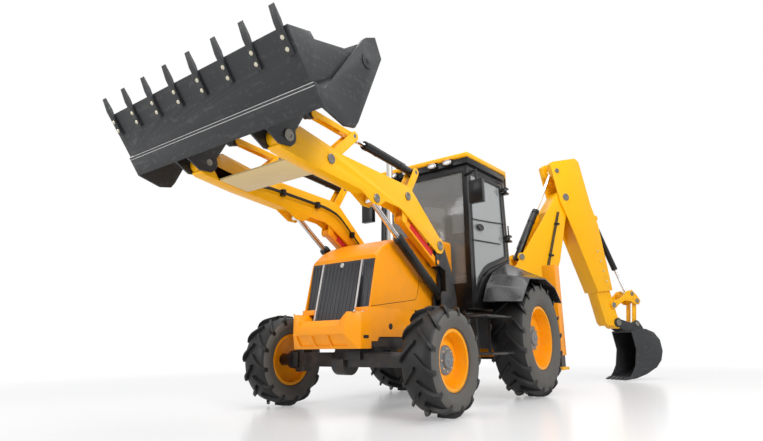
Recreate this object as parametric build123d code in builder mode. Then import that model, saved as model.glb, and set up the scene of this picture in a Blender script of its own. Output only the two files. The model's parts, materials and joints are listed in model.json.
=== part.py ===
"""Backhoe loader, loader raised and excavator arm slewed to the left.

Millimetres. Origin on the ground under the rear axle, +X forward, +Y left, +Z up.
"""
import os
from math import atan2, cos, degrees, hypot, radians, sin

from build123d import *

os.makedirs("parts", exist_ok=True)

# ---------------------------------------------------------------- fits
run_fit = 0.05            # radial clearance of a pin in its bore
seat = 0.3                # gap between curved faces of fixed pieces
clear = 5.0               # gap between moving pieces
slip = 0.5                # gap at wear pads and slide rails

# ---------------------------------------------------------------- wheels
wheelbase = 2170.0
front_r = 478.0
front_width = 326.0
front_y = 995.0
front_rim_r = 250.0
rear_r = 675.0
rear_width = 424.0
rear_y = 928.0
rear_rim_r = 352.0
lug_height = 34.0
front_hub_r = 60.0
rear_hub_r = 75.0

# ---------------------------------------------------------------- chassis
rail_in = 330.0
rail_out = 400.0
rail_low = 600.0
rail_depth = 160.0
king_y = 760.0            # kingpin distance from the centre plane
king_r = 25.0
hood_half = 415.0
hood_skin = 12.0
hood_low = 960.0          # top of the side skirts, which carry the hood
nose_top = (2332.0, 1469.0)
nose_slope = 0.234        # how far the nose moves forward for each millimetre down
grille_low = 843.0
grille_high = 1428.0
bumper_back = 2430.3
tow_pin_x = 2560.0

# ---------------------------------------------------------------- loader
arm_in = 428.0
arm_out = 565.0
arm_plate = 12.0
lever_plate = 10.0
lane_gap = 4.0            # side play of levers between the arm plates
lane_in = arm_in + arm_plate + lane_gap       # inner face of what works between arm plates
lane_out = arm_out - arm_plate - lane_gap
eye_in = lane_in + lever_plate + clear        # ram eyes and links between lever plates
eye_out = lane_out - lever_plate - clear
lane_mid = (lane_in + lane_out) / 2
cheek_plate = 11.0        # side plates of the bucket links
cheek_in = eye_in + cheek_plate
cheek_out = eye_out - cheek_plate
tilt_ram_r = 39.0
lift_ram_r = 48.0

arm_pivot = (1395.0, 1657.0)
link_pivot = (arm_pivot[0] + 20.0, arm_pivot[1] - 180.0)
lever_pivot = (2000.0, 2083.0)
lever_top = (lever_pivot[0] - 200.0, lever_pivot[1] + 312.0)
lever_foot = (lever_pivot[0] + 40.0, lever_pivot[1] - 240.0)
crank_pivot = (3158.0, 2159.0)
crank_reach = (-340.0, 318.0)
crank_top = (crank_pivot[0] + crank_reach[0], crank_pivot[1] + crank_reach[1])
bucket_pivot = (3672.0, 2201.0)
bucket_ear = (bucket_pivot[0] + crank_reach[0], bucket_pivot[1] + crank_reach[1])
lift_foot = (1320.0, 1112.0)
lift_top = (2524.0, 1949.0)

bucket_half = 1170.0
bucket_plate = 20.0
tooth_edge = (4228.0, 2648.0)
bucket_seam = (4000.0, 2324.0)
bucket_heel = (3899.0, 2179.0)
bucket_back = (3238.0, 2838.0)
bucket_brow = (3319.0, 2991.0)
clam_pivot = (3428.0, 2734.0)
clam_pin_r = 20.0
teeth = 8

# ---------------------------------------------------------------- excavator
slew_x = -1300.0
slew_turn = 31.0
boom_half = 125.0
boom_skin = 20.0
dipper_half = 153.0
slide_half = 100.0        # half width of the sliding dipper
boom_foot = (250.0, 650.0)
boom_top = (1349.0, 2988.0)
dipper_tail = (1212.0, 3436.0)
dipper_ram_foot = (388.0, 1934.0)
boom_ram_foot = (480.0, 420.0)
boom_ram_top = (900.0, 1480.0)
slide_mouth = (1995.0, 1437.0)
slide_dir = (0.2504, -0.9681)
slide_depth = 287.0
hoe_pivot = (2233.0, 925.0)
tip_pivot = (2170.0, 1214.0)
tip_ram = (2600.0, 1411.0)
tip_end = (2700.0, 1290.0)
hoe_ear = (2640.0, 905.0)
hoe_ram_foot = (2010.0, 2690.0)
hoe_bucket_half = 215.0

# ---------------------------------------------------------------- cab
cab_low = 1010.0
cab_high = 2745.0
cab_wall = 40.0


def span(side, near, far):
    """Offsets from near to far on one side of the centre plane, in rising order."""
    return (near, far) if side > 0 else (-far, -near)


FRONT = (Vector(0, 0, 0), Vector(1, 0, 0), Vector(0, -1, 0))
slew = radians(slew_turn)
HOE = (Vector(slew_x, 0, 0), Vector(-cos(slew), sin(slew), 0), Vector(sin(slew), cos(slew), 0))


def sheet(frame, w):
    """Upright sketch plane of a mechanism, at offset w from its middle."""
    origin, out, across = frame
    return Plane(origin=origin + across * w, x_dir=out, z_dir=across)


def plate(frame, points, w0, w1, mode=Mode.ADD):
    """Flat shape with straight edges, from offset w0 to w1."""
    with BuildSketch(sheet(frame, w0)) as outline:
        with BuildLine():
            Polyline(*points, close=True)
        make_face()
    extrude(outline.sketch, amount=w1 - w0, mode=mode)


def disc(frame, at, r, w0, w1, mode=Mode.ADD):
    """Round boss, pin or bore square to the mechanism."""
    with BuildSketch(sheet(frame, w0)) as ring:
        with Locations(at):
            Circle(r)
    extrude(ring.sketch, amount=w1 - w0, mode=mode)


def bar(frame, a, b, w, r, start, stop, mode=Mode.ADD):
    """Round bar on the line from a to b, between two distances from a."""
    origin, out, across = frame
    length = hypot(b[0] - a[0], b[1] - a[1])
    along = out * ((b[0] - a[0]) / length) + Vector(0, 0, (b[1] - a[1]) / length)
    foot = origin + out * a[0] + Vector(0, 0, a[1]) + across * w + along * start
    with BuildSketch(Plane(origin=foot, x_dir=across, z_dir=along)) as ring:
        Circle(r)
    extrude(ring.sketch, amount=stop - start, mode=mode)


def strap(a, b, half, low=None):
    """Corner points of a straight strap from a to b, with its half widths to the left and the right."""
    low = half if low is None else low
    length = hypot(b[0] - a[0], b[1] - a[1])
    dx, dz = (b[0] - a[0]) / length, (b[1] - a[1]) / length
    return [(a[0] - dz * half, a[1] + dx * half), (b[0] - dz * half, b[1] + dx * half),
            (b[0] + dz * low, b[1] - dx * low), (a[0] + dz * low, a[1] - dx * low)]


def gap(a, b):
    return hypot(b[0] - a[0], b[1] - a[1])


def box(x0, x1, y0, y1, z0, z1, mode=Mode.ADD):
    """Block between the given limits."""
    with BuildSketch(Plane.XY.offset(z0)) as base:
        with Locations(((x0 + x1) / 2, (y0 + y1) / 2)):
            Rectangle(x1 - x0, y1 - y0)
    extrude(base.sketch, amount=z1 - z0, mode=mode)


def post(at, r, z0, z1, mode=Mode.ADD):
    """Upright round bar or bore."""
    with BuildSketch(Plane.XY.offset(z0)) as ring:
        with Locations(at):
            Circle(r)
    extrude(ring.sketch, amount=z1 - z0, mode=mode)


def nose_x(z):
    """How far forward the sloping nose is at a height."""
    return nose_top[0] + (nose_top[1] - z) * nose_slope


def save(part, label):
    part.label = label
    export_step(part, f"parts/{label}.step")


# ================================================================ chassis
with BuildPart() as chassis_frame:
    for side in (1, -1):
        plate(FRONT, [(-890, 800), (620, 800), (900, rail_low), (2430, rail_low), (2430, rail_low + rail_depth),
                      (1010, rail_low + rail_depth), (870, 960), (-890, 960)], *span(side, rail_in, rail_out))
        tower = [(1040, rail_low), (1330, rail_low), (1380, 1060), (1340, 1172), (1262, 1172), (1268, 1400),
                 (1380, 1440), (1455, 1490), (1462, 1640), (1395, 1727), (1300, 1700), (1130, 1400), (1040, 1100)]
        for near, far in ((lane_in, lane_in + lever_plate), (lane_out - lever_plate, lane_out)):
            plate(FRONT, tower, *span(side, near, far))
            disc(FRONT, arm_pivot, 70, *span(side, near, far))
            disc(FRONT, link_pivot, 42, *span(side, near, far))
            disc(FRONT, lift_foot, 60, *span(side, near, far))
        plate(FRONT, [(1040, rail_low), (1330, rail_low), (1330, 820), (1250, 940), (1040, 940)],
              *span(side, rail_out, lane_out))
        plate(FRONT, [(1040, 930), (1180, 930), (1210, 1400), (1290, 1600), (1270, 1650), (1130, 1400), (1040, 1100)],
              *span(side, lane_in, lane_out))
        disc(FRONT, arm_pivot, 35 + run_fit, *span(side, lane_in, lane_out), mode=Mode.SUBTRACT)
        disc(FRONT, link_pivot, 25 + run_fit, *span(side, lane_in, lane_out), mode=Mode.SUBTRACT)
        disc(FRONT, lift_foot, 25, *span(side, lane_in, lane_out))
    box(1950, 2430, -rail_in, rail_in, rail_low, rail_low + 90)
    box(1040, 1330, -rail_in, rail_in, rail_low, rail_low + 90)
    box(-890, -820, -rail_in, rail_in, 800, 960)
    box(-110, 110, -rail_in, rail_in, 885, 960)
save(chassis_frame.part, "chassis_frame")

notch_half, notch_top_half = 262.0, 332.0
step_foot, step_head = (2605.0, 585.0), (2700.0, 720.0)


def step_point(s, depth):
    """s up the bumper's leaning front face, depth behind it."""
    length = gap(step_foot, step_head)
    along = ((step_head[0] - step_foot[0]) / length, (step_head[1] - step_foot[1]) / length)
    return (step_foot[0] + s * along[0] - depth * along[1], step_foot[1] + s * along[1] + depth * along[0])


with BuildPart() as bumper:
    plate(FRONT, [(bumper_back, 585), step_foot, step_head, (2682, 910), (2480, 910), (2480, hood_low),
                  (bumper_back, hood_low)], -hood_half, hood_half)
    for side in (1, -1):
        with BuildSketch(Plane.XY.offset(500)) as corner:
            with BuildLine():
                Polyline((2580, side * (hood_half + 1)), (2720, side * (hood_half + 1)), (2720, side * 300), close=True)
            make_face()
        extrude(corner.sketch, amount=500, mode=Mode.SUBTRACT)
        plate(FRONT, [(bumper_back + 5, hood_low), (1700, hood_low), (1700, 650), (1900, 650), (1930, 690), (2310, 690),
                      (2340, 650), (bumper_back + 5, 650)], *span(side, rail_out + seat, hood_half))
    plate(FRONT, [(2400, grille_low), (2640, grille_low), (2720, 758), (2800, 1000), (2400, 1000)],
          -notch_half, notch_half, mode=Mode.SUBTRACT)
    with BuildSketch(Plane.YZ.offset(2400)) as notch:
        with BuildLine():
            Polyline((-notch_half, grille_low), (notch_half, grille_low), (notch_top_half, 911), (-notch_top_half, 911),
                     close=True)
        make_face()
    extrude(notch.sketch, amount=400, mode=Mode.SUBTRACT)
    for pocket_y in (-200, 0, 200):
        plate(FRONT, [step_point(30, 15), step_point(30, -40), step_point(150, -40), step_point(150, 15)],
              pocket_y - 90, pocket_y + 90, mode=Mode.SUBTRACT)
    post((tow_pin_x, 0), 20, 500, 1000, mode=Mode.SUBTRACT)
save(bumper.part, "bumper")


hood_top = [(885.0, 1790.0), (1200.0, 1775.0), (1650.0, 1740.0), (1900.0, 1690.0), (2100.0, 1622.0),
            (2225.0, 1560.0), nose_top]


def hood_body(inset, low, half, mode=Mode.ADD):
    """The hood's side view, cut back by an inset, as a solid down to a height."""
    ridge = [(max(x - inset, 885 + inset), z - inset) for x, z in hood_top]
    plate(FRONT, [(885 + inset, low), *ridge, (nose_x(low) - inset, low)], -half, half, mode=mode)


with BuildPart() as hood:
    hood_body(0, hood_low + seat, hood_half)
    fillet(hood.edges().filter_by(lambda e: e.center().Z > nose_top[1] and abs(e.center().Y) > hood_half - 1), 40)
    hood_body(hood_skin, hood_low - 20, hood_half - hood_skin, mode=Mode.SUBTRACT)
    box(2100, 2600, -hood_half + hood_skin + seat, hood_half - hood_skin - seat, hood_low - 20, grille_high + seat,
        mode=Mode.SUBTRACT)
save(hood.part, "hood")

grille_half = hood_half - hood_skin - 2 * seat
sweep = 35.0              # how far the corner panels lie back at their foot
corner_low = hood_low + seat
with BuildPart() as grille:
    plate(FRONT, [(nose_x(grille_high) - 12, grille_high), (nose_x(grille_high), grille_high),
                  (nose_x(grille_low + seat), grille_low + seat), (nose_x(grille_low + seat) - 12, grille_low + seat)],
          -notch_half + seat, notch_half - seat)
    for rib_y in range(-216, 217, 48):
        plate(FRONT, [(nose_x(1410) - 2, 1410), (nose_x(1410) + 9, 1410), (nose_x(860) + 9, 860), (nose_x(860) - 2, 860)],
              rib_y - 7, rib_y + 7)
    for side in (1, -1):
        plate(FRONT, [(nose_x(grille_high) - 12, grille_high), (nose_x(grille_high) + 13, grille_high),
                      (nose_x(grille_low + seat) + 13, grille_low + seat),
                      (nose_x(grille_low + seat) - 12, grille_low + seat)], *span(side, 240, notch_half - seat))
        plate(FRONT, [(nose_x(grille_high) - 12, grille_high), (nose_x(grille_high), grille_high),
                      (nose_x(corner_low) - sweep, corner_low), (nose_x(corner_low) - sweep - 12, corner_low)],
              *span(side, 240, grille_half))
        for rib_y in (300, 345, 388):
            plate(FRONT, [(nose_x(1410) - 2, 1410), (nose_x(1410) + 8, 1410), (nose_x(980) - sweep + 8, 980),
                          (nose_x(980) - sweep - 2, 980)], *span(side, rib_y - 6, rib_y + 6))
save(grille.part, "grille")

with BuildPart() as engine:
    box(1250, 2150, -250, 250, rail_low + 90 + seat, 1330)
save(engine.part, "engine")

with BuildPart() as front_axle:
    plate(FRONT, [(wheelbase - 70, 410), (wheelbase + 70, 410), (wheelbase + 70, 550), (wheelbase - 70, 550)],
          -690, 690)
    disc(FRONT, (wheelbase, 455), 125, 40, 200)
    box(wheelbase - 110, wheelbase + 110, -160, 160, 480, rail_low - seat)
    for side in (1, -1):
        for z0, z1 in ((360, 400), (560, 595)):
            box(wheelbase - 60, wheelbase + 60, *span(side, 640, 735), z0, z1)
            box(wheelbase - 40, wheelbase + 40, *span(side, 735, king_y), z0, z1)
            post((wheelbase, side * king_y), 40, z0, z1)
        box(wheelbase - 60, wheelbase + 60, *span(side, 640, 700), 360, 595)
        post((wheelbase, side * king_y), king_r + run_fit, 300, 700, mode=Mode.SUBTRACT)
save(front_axle.part, "front_axle")

for side, name in ((1, "left"), (-1, "right")):
    with BuildPart() as knuckle:
        box(wheelbase - 50, wheelbase + 50, *span(side, 740, 812), 400 + clear, 560 - clear)
        post((wheelbase, side * king_y), king_r, 352, 602)
        disc(FRONT, (wheelbase, front_r), 95, *span(-side, 808, 860))
        disc(FRONT, (wheelbase, front_r), front_hub_r, *span(-side, 850, 1040))
    save(knuckle.part, f"knuckle_{name}")

with BuildPart() as rear_axle:
    disc(FRONT, (0, rear_r), 105, -690, 690)
    disc(FRONT, (0, rear_r), 190, -120, 120)
    for side in (1, -1):
        box(-110, 110, *span(side, rail_in, rail_out), 680, 800 - seat)
        disc(FRONT, (0, rear_r), 150, *span(side, 640, 700))
        disc(FRONT, (0, rear_r), 130, *span(side, 690, 900))
        disc(FRONT, (0, rear_r), rear_hub_r, *span(side, 890, 1000))
save(rear_axle.part, "rear_axle")


def ring_loft(x, y, r, stations, sides, mode=Mode.ADD):
    """Solid with many flat sides round a wheel's axis, through (offset, radius to the flats)."""
    sections = []
    for offset_y, flat_r in stations:
        with BuildSketch(Plane(origin=(x, y + offset_y, r), x_dir=(1, 0, 0), z_dir=(0, -1, 0))) as flats:
            RegularPolygon(flat_r, sides, major_radius=False, rotation=180 / sides - 90)
        sections.append(flats.sketch)
    loft(sections, ruled=True, mode=mode)


def wheel(name, x, y, r, width, rim_r, hub_r, lugs, dish):
    """Tyre with two rows of leaning lugs on a dished rim; the dish stands towards the outside."""
    out = 1 if y > 0 else -1
    spin = Axis((x, y, r), (0, 1, 0))
    section = Plane(origin=(x, y, r), x_dir=(0, out, 0), z_dir=(out, 0, 0))
    half, bead = width / 2, width / 2 - 60
    crown = r - lug_height
    with BuildPart() as tyre:
        ring_loft(x, y, r, [(-half, crown - 90), (-half + 22, crown - 30), (0, crown), (half - 22, crown - 30),
                            (half, crown - 90)], 2 * lugs)
        for hand in (1, -1):
            ring_loft(x, y, r, [(hand * half, rim_r + 64), (hand * bead, rim_r + 26)], 2 * lugs, mode=Mode.SUBTRACT)
        ring_loft(x, y, r, [(-half, rim_r), (half, rim_r)], 2 * lugs, mode=Mode.SUBTRACT)
        for index in range(2 * lugs):
            hand = 1 if index % 2 else -1
            turn = radians(-90 + 180 / lugs * index)
            radial = Vector(cos(turn), 0, sin(turn))
            low = crown - 42
            lean = 58.0
            top = (r * r - (lean + 34) ** 2) ** 0.5
            face = Plane(origin=Vector(x, y, r) + radial * low, x_dir=(0, out, 0), z_dir=radial)
            with BuildSketch(face) as lug:
                with BuildLine():
                    Polyline((hand * 2, -lean - 24), (hand * (half - 2), lean - 34), (hand * (half - 2), lean + 34),
                             (hand * 2, -lean + 30), close=True)
                make_face()
            extrude(lug.sketch, amount=top - low)
    save(tyre.part, f"{name}_tyre")
    flange, well = bead + 14, rim_r - 12
    with BuildPart() as rim:
        with BuildSketch(section):
            with BuildLine():
                Polyline((flange, rim_r + 20), (flange, well), (dish - 10, well), (dish + 20, hub_r + 70),
                         (dish + 20, hub_r + run_fit), (dish, hub_r + run_fit), (dish, hub_r + 75), (dish - 32, well),
                         (-flange, well), (-flange, rim_r + 20), (-bead - seat, rim_r + 20), (-bead - seat, rim_r - seat),
                         (bead + seat, rim_r - seat), (bead + seat, rim_r + 20), close=True)
            make_face()
        revolve(axis=spin)
    save(rim.part, f"{name}_rim")


for side, hand in ((1, "left"), (-1, "right")):
    wheel(f"front_{hand}", wheelbase, side * front_y, front_r, front_width, front_rim_r, front_hub_r, 13, 10)
    wheel(f"rear_{hand}", 0.0, side * rear_y, rear_r, rear_width, rear_rim_r, rear_hub_r, 15, 30)

with BuildPart() as rear_frame:
    box(-1050, -960, -850, 850, 960, 1080)
    box(-1050, -960, -850, 850, 430, 550)
    for side in (1, -1):
        box(-1050, -960, *span(side, 560, 700), 550, 960)
        box(-961, -890 - seat, *span(side, rail_in, rail_out), 800, 1040)
        box(-1065, -885, *span(side, 850, 1030), 450, 1660)
        box(-1055, -895, *span(side, 860, 1020), 520, 1650, mode=Mode.SUBTRACT)
        box(-1050 - slip, -900 + slip, *span(side, 865 - slip, 1015 + slip), 440, 521, mode=Mode.SUBTRACT)
save(rear_frame.part, "rear_frame")

for side, hand in ((1, "left"), (-1, "right")):
    with BuildPart() as leg:
        box(-1050, -900, *span(side, 865, 1015), 300, 1500)
        box(-1110, -840, *span(side, 840, 1040), 262, 300)
    save(leg.part, f"stabiliser_{hand}")

def towards_axle(at, depth=14.0):
    """The point moved towards the rear axle by a sheet's thickness."""
    reach = hypot(at[0], at[1] - rear_r)
    return (at[0] * (1 - depth / reach), rear_r + (at[1] - rear_r) * (1 - depth / reach))


with BuildPart() as fenders:
    for side in (1, -1):
        inner = [(-640, 1180), (-420, 1500), (-38, 1615), (412, 1448), (590, 1290), (705, 1090)]
        outer = [(-640, 1120), (-437, 1300), (-104, 1386), (414, 1350), (560, 1205), (700, 1065)]
        with BuildSketch(sheet(FRONT, -side * 701)) as near_face:
            with BuildLine():
                Polyline(*inner, *[towards_axle(at) for at in reversed(inner)], close=True)
            make_face()
        with BuildSketch(sheet(FRONT, -side * 1165)) as far_face:
            with BuildLine():
                Polyline(*outer, *[towards_axle(at) for at in reversed(outer)], close=True)
            make_face()
        loft([near_face.sketch, far_face.sketch])
        plate(FRONT, [*inner, (690, 1090), (500, 1090), (-620, 1090), (-652, 1166)], *span(-side, 701, 711))
save(fenders.part, "fenders")

with BuildPart() as steps:
    for side in (1, -1):
        box(700, 1030, *span(side, rail_out, 760), 560, 880)
        box(700, 1310, *span(side, 760, 1040), 884, 906)
        box(700, 1030, *span(side, 740, 770), 860, 906)
        box(700, 1230, *span(side, 760, 1040), 500, 522)
        for x in (705, 1000):
            box(x, x + 30, *span(side, 750, 780), 500, 900)
save(steps.part, "steps")

# ================================================================ cab
cab_floor = [(862, -652), (862, 652), (-150, 700), (-700, 480), (-700, -480), (-150, -700)]
cab_eaves = [(812, -640), (812, 640), (-150, 676), (-660, 460), (-660, -460), (-150, -676)]
door_edge = [(800, 1085), (768, 2690), (-105, 2690), (-118, 1660), (405, 1490), (500, 1420), (600, 1375), (790, 1085)]
door_light = [(750, 1230), (722, 2630), (-45, 2630), (-56, 1712), (420, 1560), (530, 1500), (650, 1395)]


hinge_x, hinge_y = -112.0, 726.0
hinge_z = (1950.0, 2600.0)
mirror_at = (902.0, 800.0, 2345.0)
lamp_z = 2790.0
hinge_r = 9.0


def cab_body(inset, low, high, mode=Mode.ADD):
    """The tapering cab, cut back by an inset, between two heights."""
    with BuildSketch(Plane.XY.offset(low)) as floor_face:
        with BuildLine():
            Polyline(*cab_floor, close=True)
        make_face()
        offset(amount=-inset, kind=Kind.INTERSECTION)
    with BuildSketch(Plane.XY.offset(high)) as top_face:
        with BuildLine():
            Polyline(*cab_eaves, close=True)
        make_face()
        offset(amount=-inset, kind=Kind.INTERSECTION)
    loft([floor_face.sketch, top_face.sketch], mode=mode)


def front_light(grow, mode):
    with BuildSketch(Plane.YZ.offset(700)) as pane:
        with BuildLine():
            Polyline((-585 - grow, 1300 - grow), (585 + grow, 1300 - grow), (575 + grow, 2650 + grow),
                     (-575 - grow, 2650 + grow), close=True)
        make_face()
    extrude(pane.sketch, amount=300, mode=mode)


def rear_light(grow, mode):
    with BuildSketch(Plane.YZ.offset(-800)) as pane:
        with BuildLine():
            Polyline((-400 - grow, 1560 - grow), (400 + grow, 1560 - grow), (390 + grow, 2650 + grow),
                     (-390 - grow, 2650 + grow), close=True)
        make_face()
    extrude(pane.sketch, amount=300, mode=mode)


def quarter_light(grow, mode):
    plate(FRONT, [(-215 + grow, 1700 - grow), (-600 - grow, 1700 - grow), (-590 - grow, 2640 + grow),
                  (-215 + grow, 2640 + grow)], -800, 800, mode=mode)


with BuildPart() as cab_frame:
    cab_body(0, cab_low, cab_high)
    cab_body(cab_wall, cab_low + 50, cab_high + 1, mode=Mode.SUBTRACT)
    plate(FRONT, door_edge, -760, 760, mode=Mode.SUBTRACT)
    front_light(0, Mode.SUBTRACT)
    rear_light(0, Mode.SUBTRACT)
    quarter_light(0, Mode.SUBTRACT)
    box(560, 760, -150, 150, cab_low + 50, 1560)
    for side in (1, -1):
        box(-330, -250, *span(side, 600, 701 - seat), 1110, 1160)
        box(560, 850, *span(side, rail_in, rail_out), 960 + seat, cab_low)
        box(-600, -400, *span(side, rail_in, rail_out), 960 + seat, cab_low)
        for z in hinge_z:
            for low, high in ((z - 45, z - 20), (z + 20, z + 45)):
                box(hinge_x - 80, hinge_x - 12, *span(side, 665, hinge_y), low, high)
                box(hinge_x - 80, hinge_x, *span(side, 702, hinge_y + 12), low, high)
            with BuildSketch(Plane.XY.offset(z - 45)) as hinge_pin:
                with Locations((hinge_x, side * hinge_y)):
                    Circle(hinge_r)
            extrude(hinge_pin.sketch, amount=90)
        mirror_x, mirror_y, mirror_z = mirror_at
        box(mirror_x - 35, mirror_x + 35, *span(side, mirror_y - 85, mirror_y + 85), mirror_z - 135, mirror_z + 135)
        with BuildSketch(Plane(origin=(812, side * 610, 2600), x_dir=(0, 0, 1), z_dir=(mirror_x - 812, side * (mirror_y - 610), 0))):
            Rectangle(26, 26)
        extrude(amount=hypot(mirror_x - 812, mirror_y - 610))
        post((mirror_x, side * mirror_y), 14, mirror_z + 130, 2613)
save(cab_frame.part, "cab_frame")

with BuildPart() as cab_roof:
    with BuildSketch(Plane.XY.offset(cab_high + seat)) as eaves:
        with BuildLine():
            Polyline(*cab_eaves, close=True)
        make_face()
        offset(amount=30, kind=Kind.INTERSECTION)
    extrude(eaves.sketch, amount=80)
    with BuildSketch(Plane.XY.offset(cab_high + seat + 80)) as brim:
        with BuildLine():
            Polyline(*cab_eaves, close=True)
        make_face()
        offset(amount=30, kind=Kind.INTERSECTION)
    with BuildSketch(Plane.XY.offset(cab_high + seat + 135)) as crown_face:
        with BuildLine():
            Polyline(*cab_eaves, close=True)
        make_face()
        offset(amount=-110, kind=Kind.INTERSECTION)
    loft([brim.sketch, crown_face.sketch])
    for side in (1, -1):
        for lamp_y in (193, 410):
            box(800, 874, *span(side, lamp_y - 62, lamp_y + 62), lamp_z - 36, lamp_z + 36)
    for lamp_y in (-340, 340):
        box(-700, -650, lamp_y - 60, lamp_y + 60, lamp_z - 36, lamp_z + 36)
save(cab_roof.part, "cab_roof")

with BuildPart() as cab_glass:
    front_light(-seat, Mode.ADD)
    rear_light(-seat, Mode.ADD)
    quarter_light(-seat, Mode.ADD)
    cab_body(14, cab_low, cab_high, mode=Mode.INTERSECT)
    cab_body(20, cab_low, cab_high, mode=Mode.SUBTRACT)
save(cab_glass.part, "cab_glass")

for side, hand in ((1, "left"), (-1, "right")):
    with BuildPart() as door:
        plate(FRONT, [(800 - clear, 1085 + clear), (768 - clear, 2690 - clear), (-105 + clear, 2690 - clear),
                      (-118 + clear, 1660 + 6), (405, 1490 + 6), (500, 1420 + 7), (600, 1375 + 7),
                      (790, 1085 + clear)], *span(-side, 560, 760))
        cab_body(0, cab_low, cab_high, mode=Mode.INTERSECT)
        cab_body(cab_wall, cab_low, cab_high, mode=Mode.SUBTRACT)
        plate(FRONT, door_light, *span(-side, 560, 760), mode=Mode.SUBTRACT)
        for z in hinge_z:
            box(hinge_x + 20, hinge_x + 62, *span(side, 672, hinge_y + 6), z - 18, z + 18)
            box(hinge_x, hinge_x + 62, *span(side, 702, hinge_y + 6), z - 18, z + 18)
            with BuildSketch(Plane.XY.offset(z - 18)) as knuckle_face:
                with Locations((hinge_x, side * hinge_y)):
                    Circle(18)
            extrude(knuckle_face.sketch, amount=36)
            with BuildSketch(Plane.XY.offset(z - 18)) as knuckle_bore:
                with Locations((hinge_x, side * hinge_y)):
                    Circle(hinge_r + run_fit)
            extrude(knuckle_bore.sketch, amount=36, mode=Mode.SUBTRACT)
    save(door.part, f"door_{hand}")
    with BuildPart() as pane:
        plate(FRONT, door_light, *span(-side, 560, 760))
        cab_body(14, cab_low, cab_high, mode=Mode.INTERSECT)
        cab_body(20, cab_low, cab_high, mode=Mode.SUBTRACT)
    save(pane.part, f"door_{hand}_glass")

with BuildPart() as operator_seat:
    box(-60, 260, -180, 180, cab_low + 50 + seat, 1380)
    box(-140, 320, -245, 245, 1380, 1500)
    plate(FRONT, [(-160, 1480), (-40, 1500), (-120, 2150), (-210, 2150)], -235, 235)
save(operator_seat.part, "operator_seat")

with BuildPart() as exhaust:
    post((1030, -350), 60, 1750, 1815)
    post((1030, -350), 40, 1800, 2945)
    post((1030, -350), 36, 2900, 2945, mode=Mode.SUBTRACT)
    hood_body(-seat, hood_low, hood_half + 5, mode=Mode.SUBTRACT)
save(exhaust.part, "exhaust")

# ================================================================ loader
arm_top = [(1395, 1745), (1940, 2185), (2084, 2200), (2993, 2240), (3531, 2332)]
arm_bottom = [(3740, 2110), (3700, 2090), (3323, 2036), (2744, 1981), (2580, 1890), (2470, 1890), (2380, 1950),
              (2150, 1935), (2060, 1900), (1440, 1570), (1330, 1620)]
with BuildPart() as loader_arms:
    for side in (1, -1):
        for near, far in ((arm_in, arm_in + arm_plate), (arm_out - arm_plate, arm_out)):
            plate(FRONT, arm_top + arm_bottom, *span(side, near, far))
            disc(FRONT, arm_pivot, 88, *span(side, near, far))
            disc(FRONT, bucket_pivot, 88, *span(side, near, far))
        plate(FRONT, [(2650, 1975), (2744, 1981), (3323, 2036), (3323, 2090), (3100, 2080), (2744, 2050), (2650, 2040)],
              *span(side, arm_in, arm_out))
        plate(FRONT, [(3225, 2030), (3323, 2036), (3700, 2090), (3740, 2110), (3700, 2180), (3531, 2332),
                      (3420, 2275), (3300, 2185), (3225, 2085)], *span(side, arm_in, arm_out))
        disc(FRONT, lift_top, 60, *span(side, arm_in + arm_plate, arm_out - arm_plate), mode=Mode.SUBTRACT)
        disc(FRONT, bucket_pivot, 88, *span(side, arm_in, arm_out))
        disc(FRONT, bucket_pivot, 30 + run_fit, *span(side, arm_in, arm_out), mode=Mode.SUBTRACT)
        disc(FRONT, arm_pivot, 35, *span(side, arm_in, arm_out))
        disc(FRONT, lever_pivot, 30, *span(side, arm_in, arm_out))
        for near, far in ((arm_in, arm_in + arm_plate), (arm_out - arm_plate, arm_out)):
            disc(FRONT, crank_pivot, 30 + run_fit, *span(side, near, far), mode=Mode.SUBTRACT)
    plate(FRONT, [(3230, 2032), (3540, 2071), (3540, 2091), (3230, 2052)], -arm_in, arm_in)
save(loader_arms.part, "loader_arms")


with BuildPart() as levelling_levers:
    for side in (1, -1):
        for near, far in ((lane_in, lane_in + lever_plate), (lane_out - lever_plate, lane_out)):
            w = span(side, near, far)
            plate(FRONT, strap(lever_pivot, lever_top, 46), *w)
            plate(FRONT, strap(lever_pivot, lever_foot, 42), *w)
            disc(FRONT, lever_top, 46, *w)
            disc(FRONT, lever_foot, 42, *w)
            disc(FRONT, lever_pivot, 60, *w)
            disc(FRONT, lever_top, 22 + run_fit, *w, mode=Mode.SUBTRACT)
        disc(FRONT, lever_pivot, 38, *span(side, lane_in, lane_out))
        disc(FRONT, lever_pivot, 30 + run_fit, *span(side, lane_in, lane_out), mode=Mode.SUBTRACT)
save(levelling_levers.part, "levelling_levers")

with BuildPart() as levelling_links:
    for side in (1, -1):
        w = span(side, eye_in, eye_out)
        plate(FRONT, strap(link_pivot, lever_foot, 34), *w)
        disc(FRONT, link_pivot, 40, *w)
        disc(FRONT, lever_foot, 40, *w)
        disc(FRONT, link_pivot, 25, *span(side, lane_in, lane_out))
save(levelling_links.part, "levelling_links")

with BuildPart() as tilt_pins:
    for side in (1, -1):
        disc(FRONT, lever_top, 22, *span(side, lane_in, lane_out))
save(tilt_pins.part, "tilt_pins")

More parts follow.
